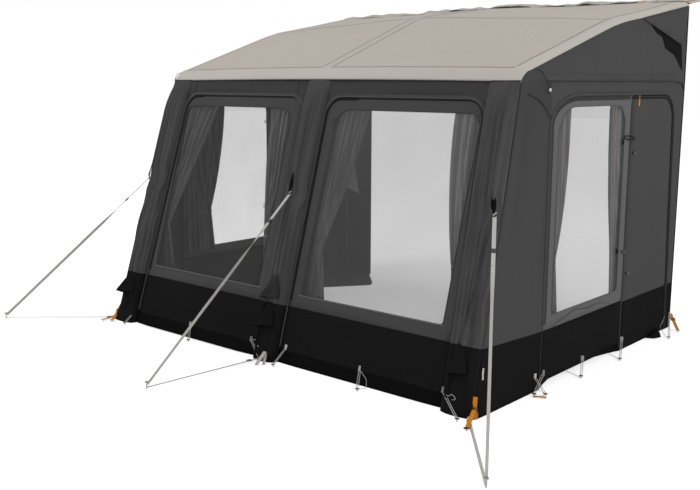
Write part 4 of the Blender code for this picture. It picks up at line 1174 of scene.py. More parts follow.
LIP_STAND = 0.007
ZIP_INSET = 0.010
TEETH_STAND = 0.0036
zip_teeth = finish("zip_teeth", (0.02, 0.02, 0.02), 0.35)[0]
# Pale piping along the zip lips: its paleness is a painted highlight on the lip's edge.
worn_piping = woven("worn_piping", (0.13, 0.13, 0.13), 0.7, crease=0.0003, crease_scale=60)
# The header's cloth is the wall cloth painted darker: painted shade.
header_cloth = woven("header_cloth", (0.047, 0.047, 0.048), 0.82, crease=0.004, crease_scale=3.2, shift=0.09)
FOOT_SPREAD = {"left": 0.028, "right": 0.010}
HEADER_SEAMS = {"left": ((0.195, 1.735), (1.295, 1.74)), "right": ()}
for side, hand in SIDES:
    opening = bay_outline(0)[2:]
    edges = bay_edges(EAVE_HEIGHT, SEAM_GAP)
    outline = list(reversed(opening))
    for step in range(9):
        x = mixed(edges[1], edges[0], step / 8)
        outline.append((x, up_front(roof_height(x, EAVE_SETBACK) - UNDER_RIM)))
    header = cut_cloth(f"{side}_header_cloth", front, outline, hand=hand, belly=0.003, seed=hand * 2.0)
    keep(header, "awning", "wall_cloth", header_cloth, [f"{side}_front_header"])
    for index, (u, low) in enumerate(HEADER_SEAMS[side]):
        seam_line = [(u, up_front(mixed(low, EAVE_HEIGHT - 0.006, step / 8))) for step in range(9)]
        seam_line = laid(front, seam_line, hand, 0.0012)
        seam_name = f"{side}_header_seam_{index + 1}"
        taped(seam_name, seam_line, front.u, 0.006, 0.0012, "wall_cloth", piping_cloth)
    declare_flat(header, "stretched", [canopy])
    frame_cloth = cut_cloth(f"{side}_window_frame_cloth", front, bay_outline(SEAM_GAP), [pane_outline(0)],
                            hand=hand, belly=0.003, seed=hand * 3.0)
    keep(frame_cloth, f"{side}_front_window", "wall_cloth", wall_cloth, [f"{side}_front_panel"])
    declare_flat(frame_cloth, "stretched", [header, f"{side}_front_mudwall"])
    pane = cut_cloth(f"{side}_window_film", front, pane_outline(FILM_GAP), hand=hand, belly=0.003,
                     seed=hand * 4.0, thickness=FILM_THICKNESS)
    keep(pane, f"{side}_front_window", "clear_film", films[f"{side}_front"], [f"{side}_front_pane"])
    declare_flat(pane, "stretched", [frame_cloth])
    window = f"{side}_front_window"
    welded(f"{side}_window_weld", front, pane_outline(-0.003), hand, window, wall_cloth)
    # The sill tape's pale colour is a painted highlight along the pane's bottom edge.
    sill = [(corner[0] + past, up_front(PANE_LOW) - 0.006)
            for corner, past in ((pane_outline(0)[0], -0.03), (pane_outline(0)[11], 0.03))]
    sill = laid(front, sill, hand, 0.002)
    sill = [sill[0].lerp(sill[1], step / 12) for step in range(13)]
    taped(f"{side}_window_sill_tape", sill, front.v, 0.003, 0.0012, "wall_cloth", weld, window)

    rim = rim_line()
    lip = laid(front, rim, hand, LIP_STAND / 2)
    taped(f"{side}_zip_lip", lip, front.w, LIP_STAND, 0.003, "wall_cloth", wall_cloth)
    # The lip's pale piping paints the highlight along its edge.
    piping = laid(front, rim, hand, LIP_STAND + 0.001)
    corded(f"{side}_zip_piping", [piping], 0.002, "wall_cloth", worn_piping)
    zip_flap(f"{side}_zip_flap", front, rim, 0.022, (0.0045, LIP_STAND), hand, up_front(BAY_TOP - 0.5))
    track = [p for p in moved_in(rim, ZIP_INSET, closed=False) if p.y > up_front(MUD_HEIGHT) + 0.004]
    placed = laid(front, track, hand, 0.0022)
    # On each bay's left side the black zip tape is drawn wide, painting the shadow band beside the leg.
    painted_shadow_end = min(p.x for p in placed) + 0.25
    widths_with_painted_shadow = [0.026 if p.x < painted_shadow_end else 0.008 for p in placed]
    toothed = laid(front, track, hand, TEETH_STAND)
    zip_run(f"{side}_front", placed, toothed, front.w, widths_with_painted_shadow, 0.0022, window, zip_tape)

    rows = []
    for step in range(41):
        share = step / 40
        row = []
        top_v = up_front(MUD_HEIGHT)
        levels = [top_v + 0.012, top_v - 0.0005] + [(top_v - 0.0015) * (1 - part / 13) for part in range(13)]
        for index, v in enumerate(levels + [0.0]):
            left, right = bay_edges(v * math.cos(FRONT_ANGLE), SEAM_GAP)
            free = math.sin(math.pi * min(1.0, v / top_v)) * min(1.0, 8 * share, 8 * (1 - share))
            u = mixed(left, right, share)
            out = 0.004 * free * noise.noise(Vector((u * 3.3, v * 2.5, hand * 6.0)))
            out += FOOT_SPREAD[side] * max(0.0, 1 - v / 0.12) ** 1.6 * min(1.0, 8 * share, 8 * (1 - share))
            row.append(front.at(u, v, -0.0035 if index < 2 else out))
        foot = bay_edges(0, SEAM_GAP)
        for part in (0.02, 0.1, 0.3, 0.5, 0.7, 0.9, 1.0):
            u = mixed(foot[0], foot[1], share)
            rise = 0.0014 + 0.0012 * abs(noise.noise(Vector((u * 7, part * 3, hand))))
            row.append(at(u, FLOOR_SETBACK + 0.25 * part, rise if part > 0.02 else 0.0013))
        rows.append(handed(row, hand))
    mudwall = grid_piece(f"{side}_mudwall_cloth", rows, outside=hand)
    keep(mudwall, "awning", "mud_cloth", mud_cloth, [f"{side}_front_mudwall"])
    patched(mudwall, hem_cloth, lambda face: face.center.z < HEM_STRIP)
    lining(mudwall)
    declare(mudwall, 1.35, 0.64, "stretched", [header])
eave_line = [at(mixed(-1.56, 1.56, step / 60), EAVE_SETBACK - 0.006, 0) for step in range(61)]
for p in eave_line:
    p.z = roof_height(p.x, EAVE_SETBACK) - 0.016
corded("eave_piping", [eave_line], 0.0045, "wall_cloth", piping_cloth)


# Side walls. A leaning corner panel joins each side leg to the upright wall, and a gable leans in from the
# wall's welted seam to the canopy. A window panel zips out of the wall, and an arched door leaf zips open
# from the rear.
WALL_HALF_WIDTH = 1.705
GABLE_SEAM = EAVE_HEIGHT - 0.008
SEAM_SETBACK = 0.70
SIDE_TOP = EAVE_HEIGHT - 0.097
WINDOW_START = SEAM_SETBACK + 0.018
ARCH_RUN = 0.33
ARCH_DROP = 0.17
DOOR_START = SEAM_SETBACK + (DEPTH - SEAM_SETBACK) * 0.558
DOOR_TOP_END = DEPTH - 0.175
DOOR_FOOT_END = DEPTH - 0.095
DOOR_CORNER = 0.19
flank = Plane((WALL_HALF_WIDTH, -BACK, 0), (0, 1, 0), (0, 0, 1))
leaf_cloth = woven("leaf_cloth", (0.118, 0.118, 0.118), 0.75, crease=0.003, crease_scale=3.0, shift=0.06)


def gable_x(y, z):
    """How far out the wall stands: upright as far as the gable's seam, and leaning in above it."""
    share = (z - GABLE_SEAM) / (rim_height(y) - UNDER_RIM - GABLE_SEAM)
    return mixed(WALL_HALF_WIDTH, side_x(y), min(1.0, max(0.0, share)))


def corner_x(height):
    return leg_x(height, 1) + SLEEVE_HALF_WIDTH


def behind_sleeve(height):
    return FLOOR_SETBACK + height * FRONT_SLOPE + 0.0046 / math.cos(FRONT_ANGLE)


def side_pane_outline(clearance):
    start_y = SEAM_SETBACK + 0.118 + clearance
    end_y = DOOR_START - 0.10 - clearance
    low = PANE_LOW + clearance
    high = SIDE_TOP - 0.068 - clearance
    return rounded([(start_y, low), (end_y, low), (end_y, high), (start_y, high)], [0.02, 0.02, 0.13, 0.19])


def window_arch(gap=0.0):
    """The side window panel's forward top corner, wider than it is high, from its foot to the level top."""
    points = []
    for step in range(17):
        turn = math.pi / 2 * step / 16
        across = WINDOW_START + gap + ARCH_RUN * (1 - math.cos(turn))
        points.append(Vector((across, SIDE_TOP - gap - ARCH_DROP * (1 - math.sin(turn)))))
    return points


def two_tone(piece, height):
    """Gives the piece wall cloth, and the mudwall's black cloth below this height."""
    cut = cut_level(piece, height)
    for face in cut.faces:
        face.material_index = 1 if face.calc_center_median().z < height else 0
    cut.to_mesh(piece.data)
    cut.free()
    piece.data.materials.append(wall_cloth)
    piece.data.materials.append(mud_cloth)
    lining(piece)


def lean_in(piece, hand):
    """Bends the gable in along its seam."""
    cut = cut_level(piece, GABLE_SEAM)
    for vert in cut.verts:
        vert.co.x += (gable_x(vert.co.y + BACK, vert.co.z) - WALL_HALF_WIDTH) * hand
    cut.to_mesh(piece.data)
    cut.free()


dark_thread = finish("dark_thread", (0.02, 0.02, 0.02), 0.7)[0]
for side, hand in SIDES:
    rows = []
    for step_up in range(48):
        share = min(1.0, step_up / 44)
        above = max(0.0, (step_up - 44) / 3)
        row = []
        for step in range(29):
            part = step / 28
            foot_z = GABLE_SEAM * share
            y = mixed(behind_sleeve(foot_z), SEAM_SETBACK + 0.002, part)
            top_y = mixed(behind_sleeve(EAVE_HEIGHT - UNDER_RIM), SEAM_SETBACK + 0.002, part)
            y = mixed(y, top_y, above)
            z = mixed(foot_z, rim_height(top_y) - UNDER_RIM, above)
            spread = part ** mixed(0.25, 1.0, min(1.0, foot_z / 0.15))
            x = mixed(corner_x(foot_z) + foot_flare(foot_z), WALL_HALF_WIDTH, spread)
            x = mixed(x, side_x(top_y), above)
            loose = math.sin(math.pi * min(1.0, share * 1.02)) * (1 - above)
            free = math.sin(math.pi * part) * loose
            x += 0.006 * free * noise.noise(Vector((y * 4, z * 1.4, 11 + hand)))
            upper = min(1.0, max(0.0, (z - 0.9) / 0.5)) * loose
            x += 0.010 * upper * bump_at(part - 0.07, 0.05)
            x -= 0.014 * upper * bump_at(part - 0.27, 0.12)
            x -= 0.008 * free * bump_at(part - 0.93, 0.05) / max(0.2, math.sin(math.pi * part))
            row.append(at(x * hand, y, z))
        rows.append(row)
    corner = grid_piece(f"{side}_corner_cloth", rows, outside=hand)
    two_tone(corner, MUD_HEIGHT)
    keep(corner, "awning", "wall_cloth", None, [f"{side}_corner_panel"])
    declare(corner, 0.62, 1.95, "stretched", [f"{side}_leg_cloth"])

    low = MUD_HEIGHT + SEAM_GAP
    begin = SEAM_SETBACK + SEAM_GAP
    level_top = (WINDOW_START + ARCH_RUN + 0.01, SIDE_TOP)
    door_arch = rounded([level_top, (DOOR_TOP_END, SIDE_TOP), (DOOR_FOOT_END, 0.0)], [0, DOOR_CORNER, 0])
    notch = [Vector((WINDOW_START, low))] + window_arch() + door_arch
    outline = [Vector((begin, low))] + notch + [Vector((DEPTH, 0.0))]
    outline += [Vector((y, rim_height(y) - UNDER_RIM)) for y in reversed(roof_ys) if y > begin]
    outline.append(Vector((begin, rim_height(begin) - UNDER_RIM)))
    wall = cut_cloth(f"{side}_wall_cloth", flank, outline, hand=hand, belly=0.006, seed=20.0 + hand)
    two_tone(wall, MUD_HEIGHT - 0.012)
    lean_in(wall, hand)
    keep(wall, "awning", "wall_cloth", None, [f"{side}_side_wall"])
    declare_flat(wall, "stretched", [canopy])

    top = SIDE_TOP - SEAM_GAP
    leaf_outline = [Vector((WINDOW_START + SEAM_GAP, low)), Vector((DOOR_START, low))]
    leaf_outline.append(Vector((DOOR_START, top)))
    leaf_outline += reversed(window_arch(SEAM_GAP))
    leaf = cut_cloth(f"{side}_side_window_cloth", flank, leaf_outline, [side_pane_outline(0)],
                     hand=hand, belly=0.004, seed=30.0 + hand)
    keep(leaf, "awning", "leaf_cloth", leaf_cloth, [f"{side}_window_panel"])
    declare_flat(leaf, "stretched", [wall])
    side_film = cut_cloth(f"{side}_side_window_film", flank, side_pane_outline(FILM_GAP), hand=hand,
                          belly=0.003, seed=40.0 + hand, thickness=FILM_THICKNESS)
    keep(side_film, "awning", "clear_film", films[f"{side}_side"], [f"{side}_side_pane"])
    declare_flat(side_film, "stretched", [leaf])
    welded(f"{side}_side_window_weld", flank, side_pane_outline(-0.003), hand, "awning", leaf_cloth)

    hinge_side = DOOR_START + SEAM_GAP
    door_outline = [(hinge_side, 0.002), (DOOR_FOOT_END - SEAM_GAP, 0.002), (DOOR_TOP_END - SEAM_GAP, top),
                    (hinge_side, top)]
    door_outline = rounded(door_outline, [0, 0, DOOR_CORNER, 0])
    door = cut_cloth(f"{side}_door_cloth", flank, door_outline, hand=hand, belly=0.006, seed=50.0 + hand)
    two_tone(door, MUD_HEIGHT - 0.012)
    keep(door, f"{side}_side_door", "wall_cloth", None, [f"{side}_door"])
    declare_flat(door, "hung", [wall])

    turned = rounded([(DOOR_FOOT_END, 0.004), (DOOR_TOP_END, SIDE_TOP), level_top], [0, DOOR_CORNER, 0], 14)
    turned += list(reversed(window_arch())) + [Vector((WINDOW_START, low))]
    rim = evenly(turned)[:-1]
    normal = Vector((flank.w.x * hand, flank.w.y, 0))
    lip = laid(flank, rim, hand, 0.004)
    taped(f"{side}_side_zip_lip", lip, normal, 0.008, 0.003, "wall_cloth", wall_cloth)
    zip_flap(f"{side}_side_zip_flap", flank, rim, 0.018, (0.005, 0.008), hand)
    track = moved_in(rim, 0.014, closed=False)
    zips = {"door": ([p for p in track if p.x > DOOR_START + 0.004], f"{side}_side_door", zip_tape),
            "window": ([p for p in track if p.x < DOOR_START and p.y > low], "awning", piping_cloth)}
    for part_name, (line, body, cloth) in zips.items():
        placed = laid(flank, line, hand, 0.0024)
        toothed = laid(flank, line, hand, TEETH_STAND)
        zip_run(f"{side}_{part_name}", placed, toothed, normal, 0.03, 0.0020, body, cloth)
    hinge = [Vector((DOOR_START - 0.006, mixed(0.03, SIDE_TOP - 0.01, step / 40))) for step in range(41)]
    hinge = laid(flank, hinge, hand, 0.0014)
    taped(f"{side}_door_fold_tape", hinge, flank.u, 0.014, 0.0014, "wall_cloth", piping_cloth)

    gable_line = [(SEAM_SETBACK - 0.03, GABLE_SEAM), (DEPTH - 0.18, GABLE_SEAM),
                  (DEPTH - 0.06, EAVE_HEIGHT - 0.022), (DEPTH - 0.006, EAVE_HEIGHT - 0.075)]
    gable = []
    for a, b in zip(gable_line, gable_line[1:]):
        gable += [Vector(a).lerp(Vector(b), step / 12) for step in range(12)]
    gable = laid(flank, gable, hand, 0.0052)
    taped(f"{side}_gable_welt", gable, normal, 0.008, 0.003, "wall_cloth", piping_cloth)
    upper = []
    sewn_at = EAVE_HEIGHT + 0.035
    for step in range(41):
        y = mixed(SEAM_SETBACK + 0.01, DEPTH - 0.15, step / 40)
        upper.append(at((gable_x(y, sewn_at) + 0.002) * hand, y, sewn_at))
    keep(rods_along(f"{side}_gable_stitches", [upper], *STITCH, dark_thread), "awning", "wall_cloth")

    rows = []
    for step in range(37):
        y = mixed(0.86, 1.60, step / 36)
        fade = math.sin(math.pi * step / 36) ** 0.5
        height = 0.010 + fade * (0.042 + 0.035 * noise.noise(Vector((y * 5, 3.0, 1.0))))
        row = []
        for part in range(9):
            out = 0.0010 + 0.014 * fade * math.sin(math.pi * (part / 8) ** 1.7)
            row.append(at((WALL_HALF_WIDTH + out) * hand, y, low + height * part / 8))
        rows.append(row)
    slack_cloth = grid_piece(f"{side}_window_slack", rows, outside=-hand)
    declare(keep(slack_cloth, "awning", "leaf_cloth", leaf_cloth), 0.76, 0.07, "stretched", [leaf])

    rear_edge = [mixed(0.004, REAR_HEIGHT - 0.02, step / 50) for step in range(51)]
    rear_edge = [at((gable_x(DEPTH, z) + 0.0012) * hand, DEPTH - 0.003, z) for z in rear_edge]
    corded(f"{side}_rear_edge_piping", [rear_edge], 0.004, "wall_cloth", zip_tape)
    foot_seam = [mixed(0.02, MUD_HEIGHT, step / 12) for step in range(13)]
    foot_seam = [at((WALL_HALF_WIDTH + 0.0012) * hand, SEAM_SETBACK, z) for z in foot_seam]
    corded(f"{side}_corner_foot_seam", [foot_seam], 0.0018, "mud_cloth", wall_cloth)

    rows = []
    flap_x = WALL_HALF_WIDTH - 0.25
    for step in range(41):
        y = mixed(SEAM_SETBACK, DOOR_START, step / 40)
        tuck = 0.062 * max(0.0, min(1.0, (y - SEAM_SETBACK) / 0.22, (DOOR_START - y) / 0.25)) ** 0.8
        row = [at(flap_x, y, 0.0025)]
        for part in (0.3, 0.6, 0.9):
            x = mixed(flap_x, WALL_HALF_WIDTH - 0.002 - tuck, part)
            row.append(at(x, y, 0.0022 + 0.001 * noise.noise(Vector((y * 6, part, 2)))))
        for part in range(13):
            z = 0.0014 + (MUD_HEIGHT - 0.0014) * part / 12
            swell = 0.012 * math.sin(math.pi * part / 12) ** 0.7
            swell *= 0.55 + 0.9 * noise.noise(Vector((y * 3.1, 4.0, hand)))
            swell *= min(1.0, (y - SEAM_SETBACK) / 0.1, (DOOR_START - y) / 0.1)
            row.append(at(WALL_HALF_WIDTH + max(0.0, swell) - tuck * max(0.0, 1 - z / 0.115) ** 1.5, y, z))
        row += [at(WALL_HALF_WIDTH - 0.0035, y, MUD_HEIGHT + over) for over in (-0.0002, 0.012)]
        rows.append(handed(row, hand))
    band = grid_piece(f"{side}_side_mudwall_cloth", rows, outside=-hand)
    keep(band, "awning", "mud_cloth", mud_cloth, [f"{side}_side_mudwall"])
    patched(band, hem_cloth, lambda face: face.center.z < HEM_STRIP * 0.8)
    lining(band)
    declare(band, 1.12, 0.62, "stretched", [wall])


# Rear pads. Foam in a cloth cover, one down each rear edge, which the awning's guys pull against the
# vehicle.
pad_cloth = woven("pad_cloth", (0.05, 0.05, 0.051), 0.85, crease=0.004, crease_scale=5, shift=0.06)
pocket_cloth = woven("pocket_cloth", (0.82, 0.80, 0.77), 0.8, crease=0.001, crease_scale=9)
PAD_RUN_IN = 0.06
for side, hand in SIDES:
    low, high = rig.box(f"{side}_rear_pad")
    xs = sorted((abs(low[0]), abs(high[0])))
    xs[0] -= PAD_RUN_IN
    rings = []
    for step in range(49):
        z = mixed(low[2] + 0.001, high[2] - 0.001, step / 48)
        swell = min(1.0, 12 * step / 48, 12 * (1 - step / 48)) ** 0.5
        ring = []
        for index in range(20):
            turn = 2 * math.pi * index / 20 + 0.157
            across = math.copysign(abs(math.cos(turn)) ** 0.35, math.cos(turn))
            depth = math.copysign(abs(math.sin(turn)) ** 0.35, math.sin(turn))
            x = mixed(xs[0], xs[1], 0.5 + across * 0.498)
            y = mixed(low[1], high[1], 0.5 + depth * (0.38 + 0.11 * swell))
            ring.append((x, y, z))
        rings.append(handed(ring, hand))
    pad = swept(f"{side}_rear_pad_cover", rings)
    keep(pad, "awning", "foam_pad", pad_cloth, [f"{side}_rear_pad"])
    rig.padded(pad, fill=0.8)
    face_y = low[1] - 0.0015
    pad_seam = handed([(1.558, face_y, mixed(0.04, 0.80, step / 20)) for step in range(21)], hand)
    corded(f"{side}_pad_seam", [pad_seam], 0.003, "foam_pad", seam_cloth)
    corners = ((1.459, face_y - 0.004, 1.05), (1.402, face_y - 0.006, 0.785), (1.562, face_y - 0.003, 0.83))
    corners = handed(corners, hand)
    backs = [p + Vector((0, 0.0012, 0)) for p in corners]
    keep(swept(f"{side}_pad_flap", [corners, backs], smooth=False), "awning", "foam_pad", pocket_cloth)
    rows = []
    for step in range(13):
        share = step / 12
        outer = Vector((1.68, mixed(0.42, face_y, share), 0))
        inner = Vector((1.27, 0.43, 0)).lerp(Vector((0.93, 0.90, 0)), min(1.0, share / 0.7))
        inner = inner.lerp(Vector((xs[0], face_y, 0)), max(0.0, share - 0.7) / 0.3)
        row = [outer.lerp(inner, part / 10) for part in range(11)]
        for part, p in enumerate(row):
            ripple = abs(noise.noise(Vector((p.x * 3, p.y * 3, 1.0)))) * min(1.0, part / 3, (10 - part) / 2)
            p.z = 0.004 + 0.007 * ripple + (0.05 if part == 0 else 0.0)
        rows.append(handed(row, hand))
    ground_flap = grid_piece(f"{side}_rear_ground_flap", rows, outside=-hand)
    keep(ground_flap, "awning", "mud_cloth", pad_cloth)
    declare(ground_flap, 0.95, 0.72, "laid", [])


# Curtains. Thin unlined cloth on a tape above each window, gathered into pleats and tied back at waist
# height. Below its tie each one hangs plumb. All are one cloth, but each has its own colour, which paints
# the light on it: paler where the light comes through, darker in shade.
TIE_HEIGHT = 0.77
HEM_HEIGHT = 0.42
PLUMB = 0.9
FULLNESS = 1.38


def curtain(name, node, plane, head, tie, hem, top, hand, colour, bulge, pleats):
    """Pleated cloth that narrows to its tie and opens a little below. Head, tie and hem give its edges."""
    rows = []
    low = HEM_HEIGHT / plane.v.z
    waist = (top - TIE_HEIGHT / plane.v.z) / (top - low)
    for level in [0.0, 0.01, 0.025] + [0.025 + 0.975 * step / 40 for step in range(1, 41)]:
        v = mixed(top, low, level)
        if level <= waist:
            share = (level / waist) ** bulge
            ends = [mixed(a, b, share) for a, b in zip(head, tie)]
            depth = mixed(0.019, 0.011, share)
        else:
            share = ((level - waist) / (1 - waist)) ** 0.8
            ends = [mixed(a, b, share) for a, b in zip(tie, hem)]
            depth = 0.011
        stand = 0.0175 if level < 0.04 else 0.036
        depth *= min(1.0, 0.3 + level * 8)
        row = []
        for step in range(pleats * 8 + 1):
            part = step / (pleats * 8)
            drift = 0.4 * noise.noise(Vector((part * 3, level * 2, len(name))))
            wave = math.sin(2 * math.pi * pleats * part + drift * 2)
            wave += 0.3 * math.sin(2 * math.pi * 2.3 * part + 1)
            p = plane.at(mixed(ends[0], ends[1], part), v, depth * wave - stand)
            if level > waist and plane is front:
                at_waist = plane.at(0, mixed(top, low, waist), depth * wave - stand)
                p.y = mixed(p.y, at_waist.y, PLUMB)
            row.append(p)
        rows.append(handed(row, hand))
    piece = grid_piece(name, rows, 0.0008)
    # Each curtain gets its own copy of the cloth, in a colour that paints the light on it.
    cloth = woven(name + "_cloth", colour, 0.85, crease=0.002, crease_scale=6, shift=0.45, streaks=2.4)
    keep(piece, "awning", "curtain_cloth", cloth, [node])
    declare(piece, area_of(piece) / FULLNESS, 1.4, "gathered", [])
    waist_row = min(rows, key=lambda row: abs(row[0].z - TIE_HEIGHT))
    middle = sum(waist_row, Vector((0, 0, 0))) / len(waist_row)
    half = (waist_row[-1] - waist_row[0]) / 2 * 1.04
    out = handed([plane.w], hand)[0]
    turns = [math.pi * step / 12 for step in range(25)]
    loop = [middle + half * math.cos(turn) + out * 0.0145 * math.sin(turn) for turn in turns]
    taped(name + "_tie", loop, Vector((0, 0, 1)), 0.018, 0.0012, "curtain_cloth", cloth)


# Curtain colours that paint light and shade on the one cloth: paler where light comes through, darker in shade.
CURTAIN_PAINTED_LIT = (0.42, 0.41, 0.39)
CURTAIN_PAINTED_SHADED = (0.13, 0.13, 0.13)
# Each curtain's panel, its edges at the head, the tie and the hem, its colour with its painted light and
# shade, how it narrows, and its pleats.
DRAPES = {
    "right_front_inner": (front, (0.17, 0.472), (0.17, 0.275), (0.10, 0.30), (0.24, 0.24, 0.24), 1.6, 6),
    "right_front_outer": (front, (1.14, 1.38), (1.32, 1.378), (1.33, 1.385), (0.52, 0.52, 0.51), 1.8, 4),
    "left_front_inner": (front, (0.17, 0.46), (0.17, 0.283), (0.12, 0.29), (0.20, 0.20, 0.20), 1.5, 6),
    "left_front_outer": (front, (0.97, 1.38), (1.34, 1.39), (1.27, 1.39), CURTAIN_PAINTED_SHADED, 1.0, 5),
    "right_side_forward": (flank, (0.80, 1.026), (0.80, 0.894), (0.84, 0.948), CURTAIN_PAINTED_LIT, 2.8, 4),
    "right_side_rearward": (flank, (1.545, 1.787), (1.64, 1.787), (1.675, 1.787), CURTAIN_PAINTED_LIT, 2.2, 4),
    "left_side_forward": (flank, (0.72, 1.18), (0.72, 1.0), (0.72, 1.04), CURTAIN_PAINTED_SHADED, 2.0, 6),
    "left_side_rearward": (flank, (1.74, 1.79), (1.75, 1.79), (1.75, 1.79), (0.2, 0.2, 0.2), 1.5, 2),
}
for name, (plane, head, tie, hem, colour, bulge, pleats) in DRAPES.items():
    top = up_front(BAY_TOP) + 0.04 if plane is front else SIDE_TOP + 0.03
    hand = -1 if name.startswith("left") else 1
    curtain(name + "_drape", name + "_curtain", plane, head, tie, hem, top, hand, colour, bulge, pleats)


# Valve hoods and caps. A ridged flap of cloth keeps rain off each beam's valve, low on the front of the
# leg. The middle leg has a second, larger one above. Each valve has a black screw cap with finger notches.
HOOD_WIDTH = 0.13
HOOD_HEIGHT = 0.17
HOOD_REACH = 0.075
# Each hood's body, the side of its leg, the height of its top and how far its ridge leans aside.
HOODS = {
    "left_valve_hood": ("left_hood", -1, 0.37, -0.055),
    "middle_valve_hood": ("middle_hood", 0, 0.37, -0.03),
    "right_valve_hood": ("right_hood", 1, 0.37, -0.02),
    "middle_upper_hood": ("middle_cover", 0, 0.555, -0.035),
}
hood_cloth = woven("upper_hood_cloth", (0.032, 0.032, 0.033), 0.8, crease=0.006, crease_scale=14, shift=0.3)
for node, (body, at_side, top_height, aside) in HOODS.items():
    top_v = up_front(top_height)
    rows = []
    for step in range(19):
        share = step / 18
        v = mixed(top_v - HOOD_HEIGHT, top_v, share)
        centre = leg_x(v * math.cos(FRONT_ANGLE), at_side)
        half = mixed(HOOD_WIDTH, 0.05, share) / 2
        seat = SLEEVE_RISE * math.sqrt(1 - (half / SLEEVE_HALF_WIDTH) ** 2) + 0.010
        ridge = SLEEVE_RISE + 0.010 + HOOD_REACH * (1 - share) ** 0.8
        row = []
        for part_step in range(-12, 13):
            part = part_step / 12
            lean = 1 - abs(part) ** 1.1
            crumple = noise.noise(Vector((part * 3.1, v * 16, at_side * 5.0 + top_height)))
            ruck = 0.022 * crumple * (1 - abs(part) ** 3) * (1 - share)
            skew = aside * (1 - share) ** 1.3 * lean
            slant = 0.012 * part * (1 - share)
            row.append(front.at(centre + half * part + skew, v + slant, mixed(seat, ridge, lean) + ruck))
        rows.append(row)
    hood = grid_piece(node + "_cloth", rows, 0.0014)
    cloth_here = hood_cloth if node == "middle_upper_hood" else mud_cloth
    keep(hood, body, "mud_cloth", cloth_here, [node])
    declare(hood, 0.2, 0.19, "hung", [])
for side, at_side in LEGS:
    dress(frame["nodes"][f"{side}_valve_cap"], guy_plastic)


# Guy anchors. A fold of stiffened cloth stands out of each leg above its guy, and spreads the pull. Its black
# cloth is painted shade inside the fold. The tape's end is looped through it and held by a black toggle.
for side, at_side in LEGS:
    anchor = Vector(GUYS[side][0])
    hold = Vector(GUYS[side][1])
    pull = anchor - front.origin
    pull_u, pull_v, pull_w = (pull.dot(axis) for axis in (front.u, front.v, front.w))
    aside = pull_u - leg_x(pull_v * math.cos(FRONT_ANGLE), at_side)
    rows = []
    for step in range(15):
        share = step / 14
        v = pull_v + 0.004 + 0.135 * share
        leg_middle = leg_x(v * math.cos(FRONT_ANGLE), at_side)
        centre = leg_middle + aside * mixed(1.0, 0.82, share)
        half = 0.003 + 0.011 * math.sin(math.pi * share**0.8) ** 1.4
        row = []
        for part_step in range(-6, 7):
            part = part_step / 6
            offset = (centre + half * part - leg_middle) / SLEEVE_HALF_WIDTH
            seat = SLEEVE_RISE * math.sqrt(max(0.0, 1 - offset**2)) + 0.017
            top = max(seat, pull_w + 0.004) + 0.016 * (1 - share) * (1 - abs(part))
            row.append(front.at(centre + half * part, v, mixed(top, seat + 0.004, share)))
        rows.append(row)
    # The fold's black cloth paints the shadow inside the pulled-out fold.
    keep(grid_piece(f"{side}_anchor_fold", rows, 0.0014), "awning", "mud_cloth", hem_cloth)
    run = (hold - anchor).normalized()
    level = run.cross(Vector((0, 0, 1))).normalized()
    knot = anchor + run * 0.012 + Vector((0, -0.004, 0.002))
    bar = [knot - level * 0.018 + Vector((0, 0, 0.012)), knot, knot + level * 0.016 - Vector((0, 0, 0.014))]
    corded(f"{side}_anchor_toggle", [bar], 0.0052, "black_plastic", guy_plastic)
    for number, (hand, reach) in enumerate(((-1, 0.016), (1, 0.030))):
        tip = anchor + level * 0.012 * hand * (1 if side != "left" else -1) + Vector((0, -0.006, reach))
        end_line = [knot.lerp(tip, step / 4) for step in range(5)]
        taped(f"{side}_anchor_end_{number + 1}", end_line, level, 0.010, 0.0015, "webbing", webbing)


# Peg ladders. A pale rubber ladder hangs from a sewn tab at the foot of each seam, and a steel peg through
# one rung holds it to the ground. Some have a spare end looped up beside them.
rubber, start, shader = finish("pale_rubber", (0.42, 0.405, 0.37), 0.6)
place = start.place()
dusty = start.noise(place, 60.0, 3.0)
feed(shader, Base_Color=dusty.mixed((0.34, 0.325, 0.29), (0.50, 0.485, 0.45)), Roughness=dusty * 0.2 + 0.5,
     Normal=start.bump(0.3, 0.0004, start.noise(place, 400.0)))
LADDER_WIDTH = 0.016


def eased(points, steps=6):
    """A smooth line through the points."""
    line = []
    for i in range(len(points) - 1):
        a, b, c, d = (Vector(points[min(max(j, 0), len(points) - 1)]) for j in range(i - 1, i + 3))
        for step in range(steps):
            t = step / steps
            bend = (2 * a - 5 * b + 4 * c - d) * t**2 + (3 * b - a - 3 * c + d) * t**3
            line.append((2 * b + (c - a) * t + bend) / 2)
    return line + [Vector(points[-1])]


def peg(name, place, head=0.014):
    rings = []
    turns = [2 * math.pi * i / 16 for i in range(16)]
    profile = ((0.0003, 0.0035), (0.0145, 0.0035), (0.015, head), (0.0175, head), (0.0185, head * 0.7))
    for height, radius in profile:
        ring = [(place[0] + radius * math.cos(t), place[1] + radius * math.sin(t), height) for t in turns]
        rings.append(handed(ring, 1))
    return keep(swept(name, rings, smooth=False), "awning", "peg_steel", zinc)


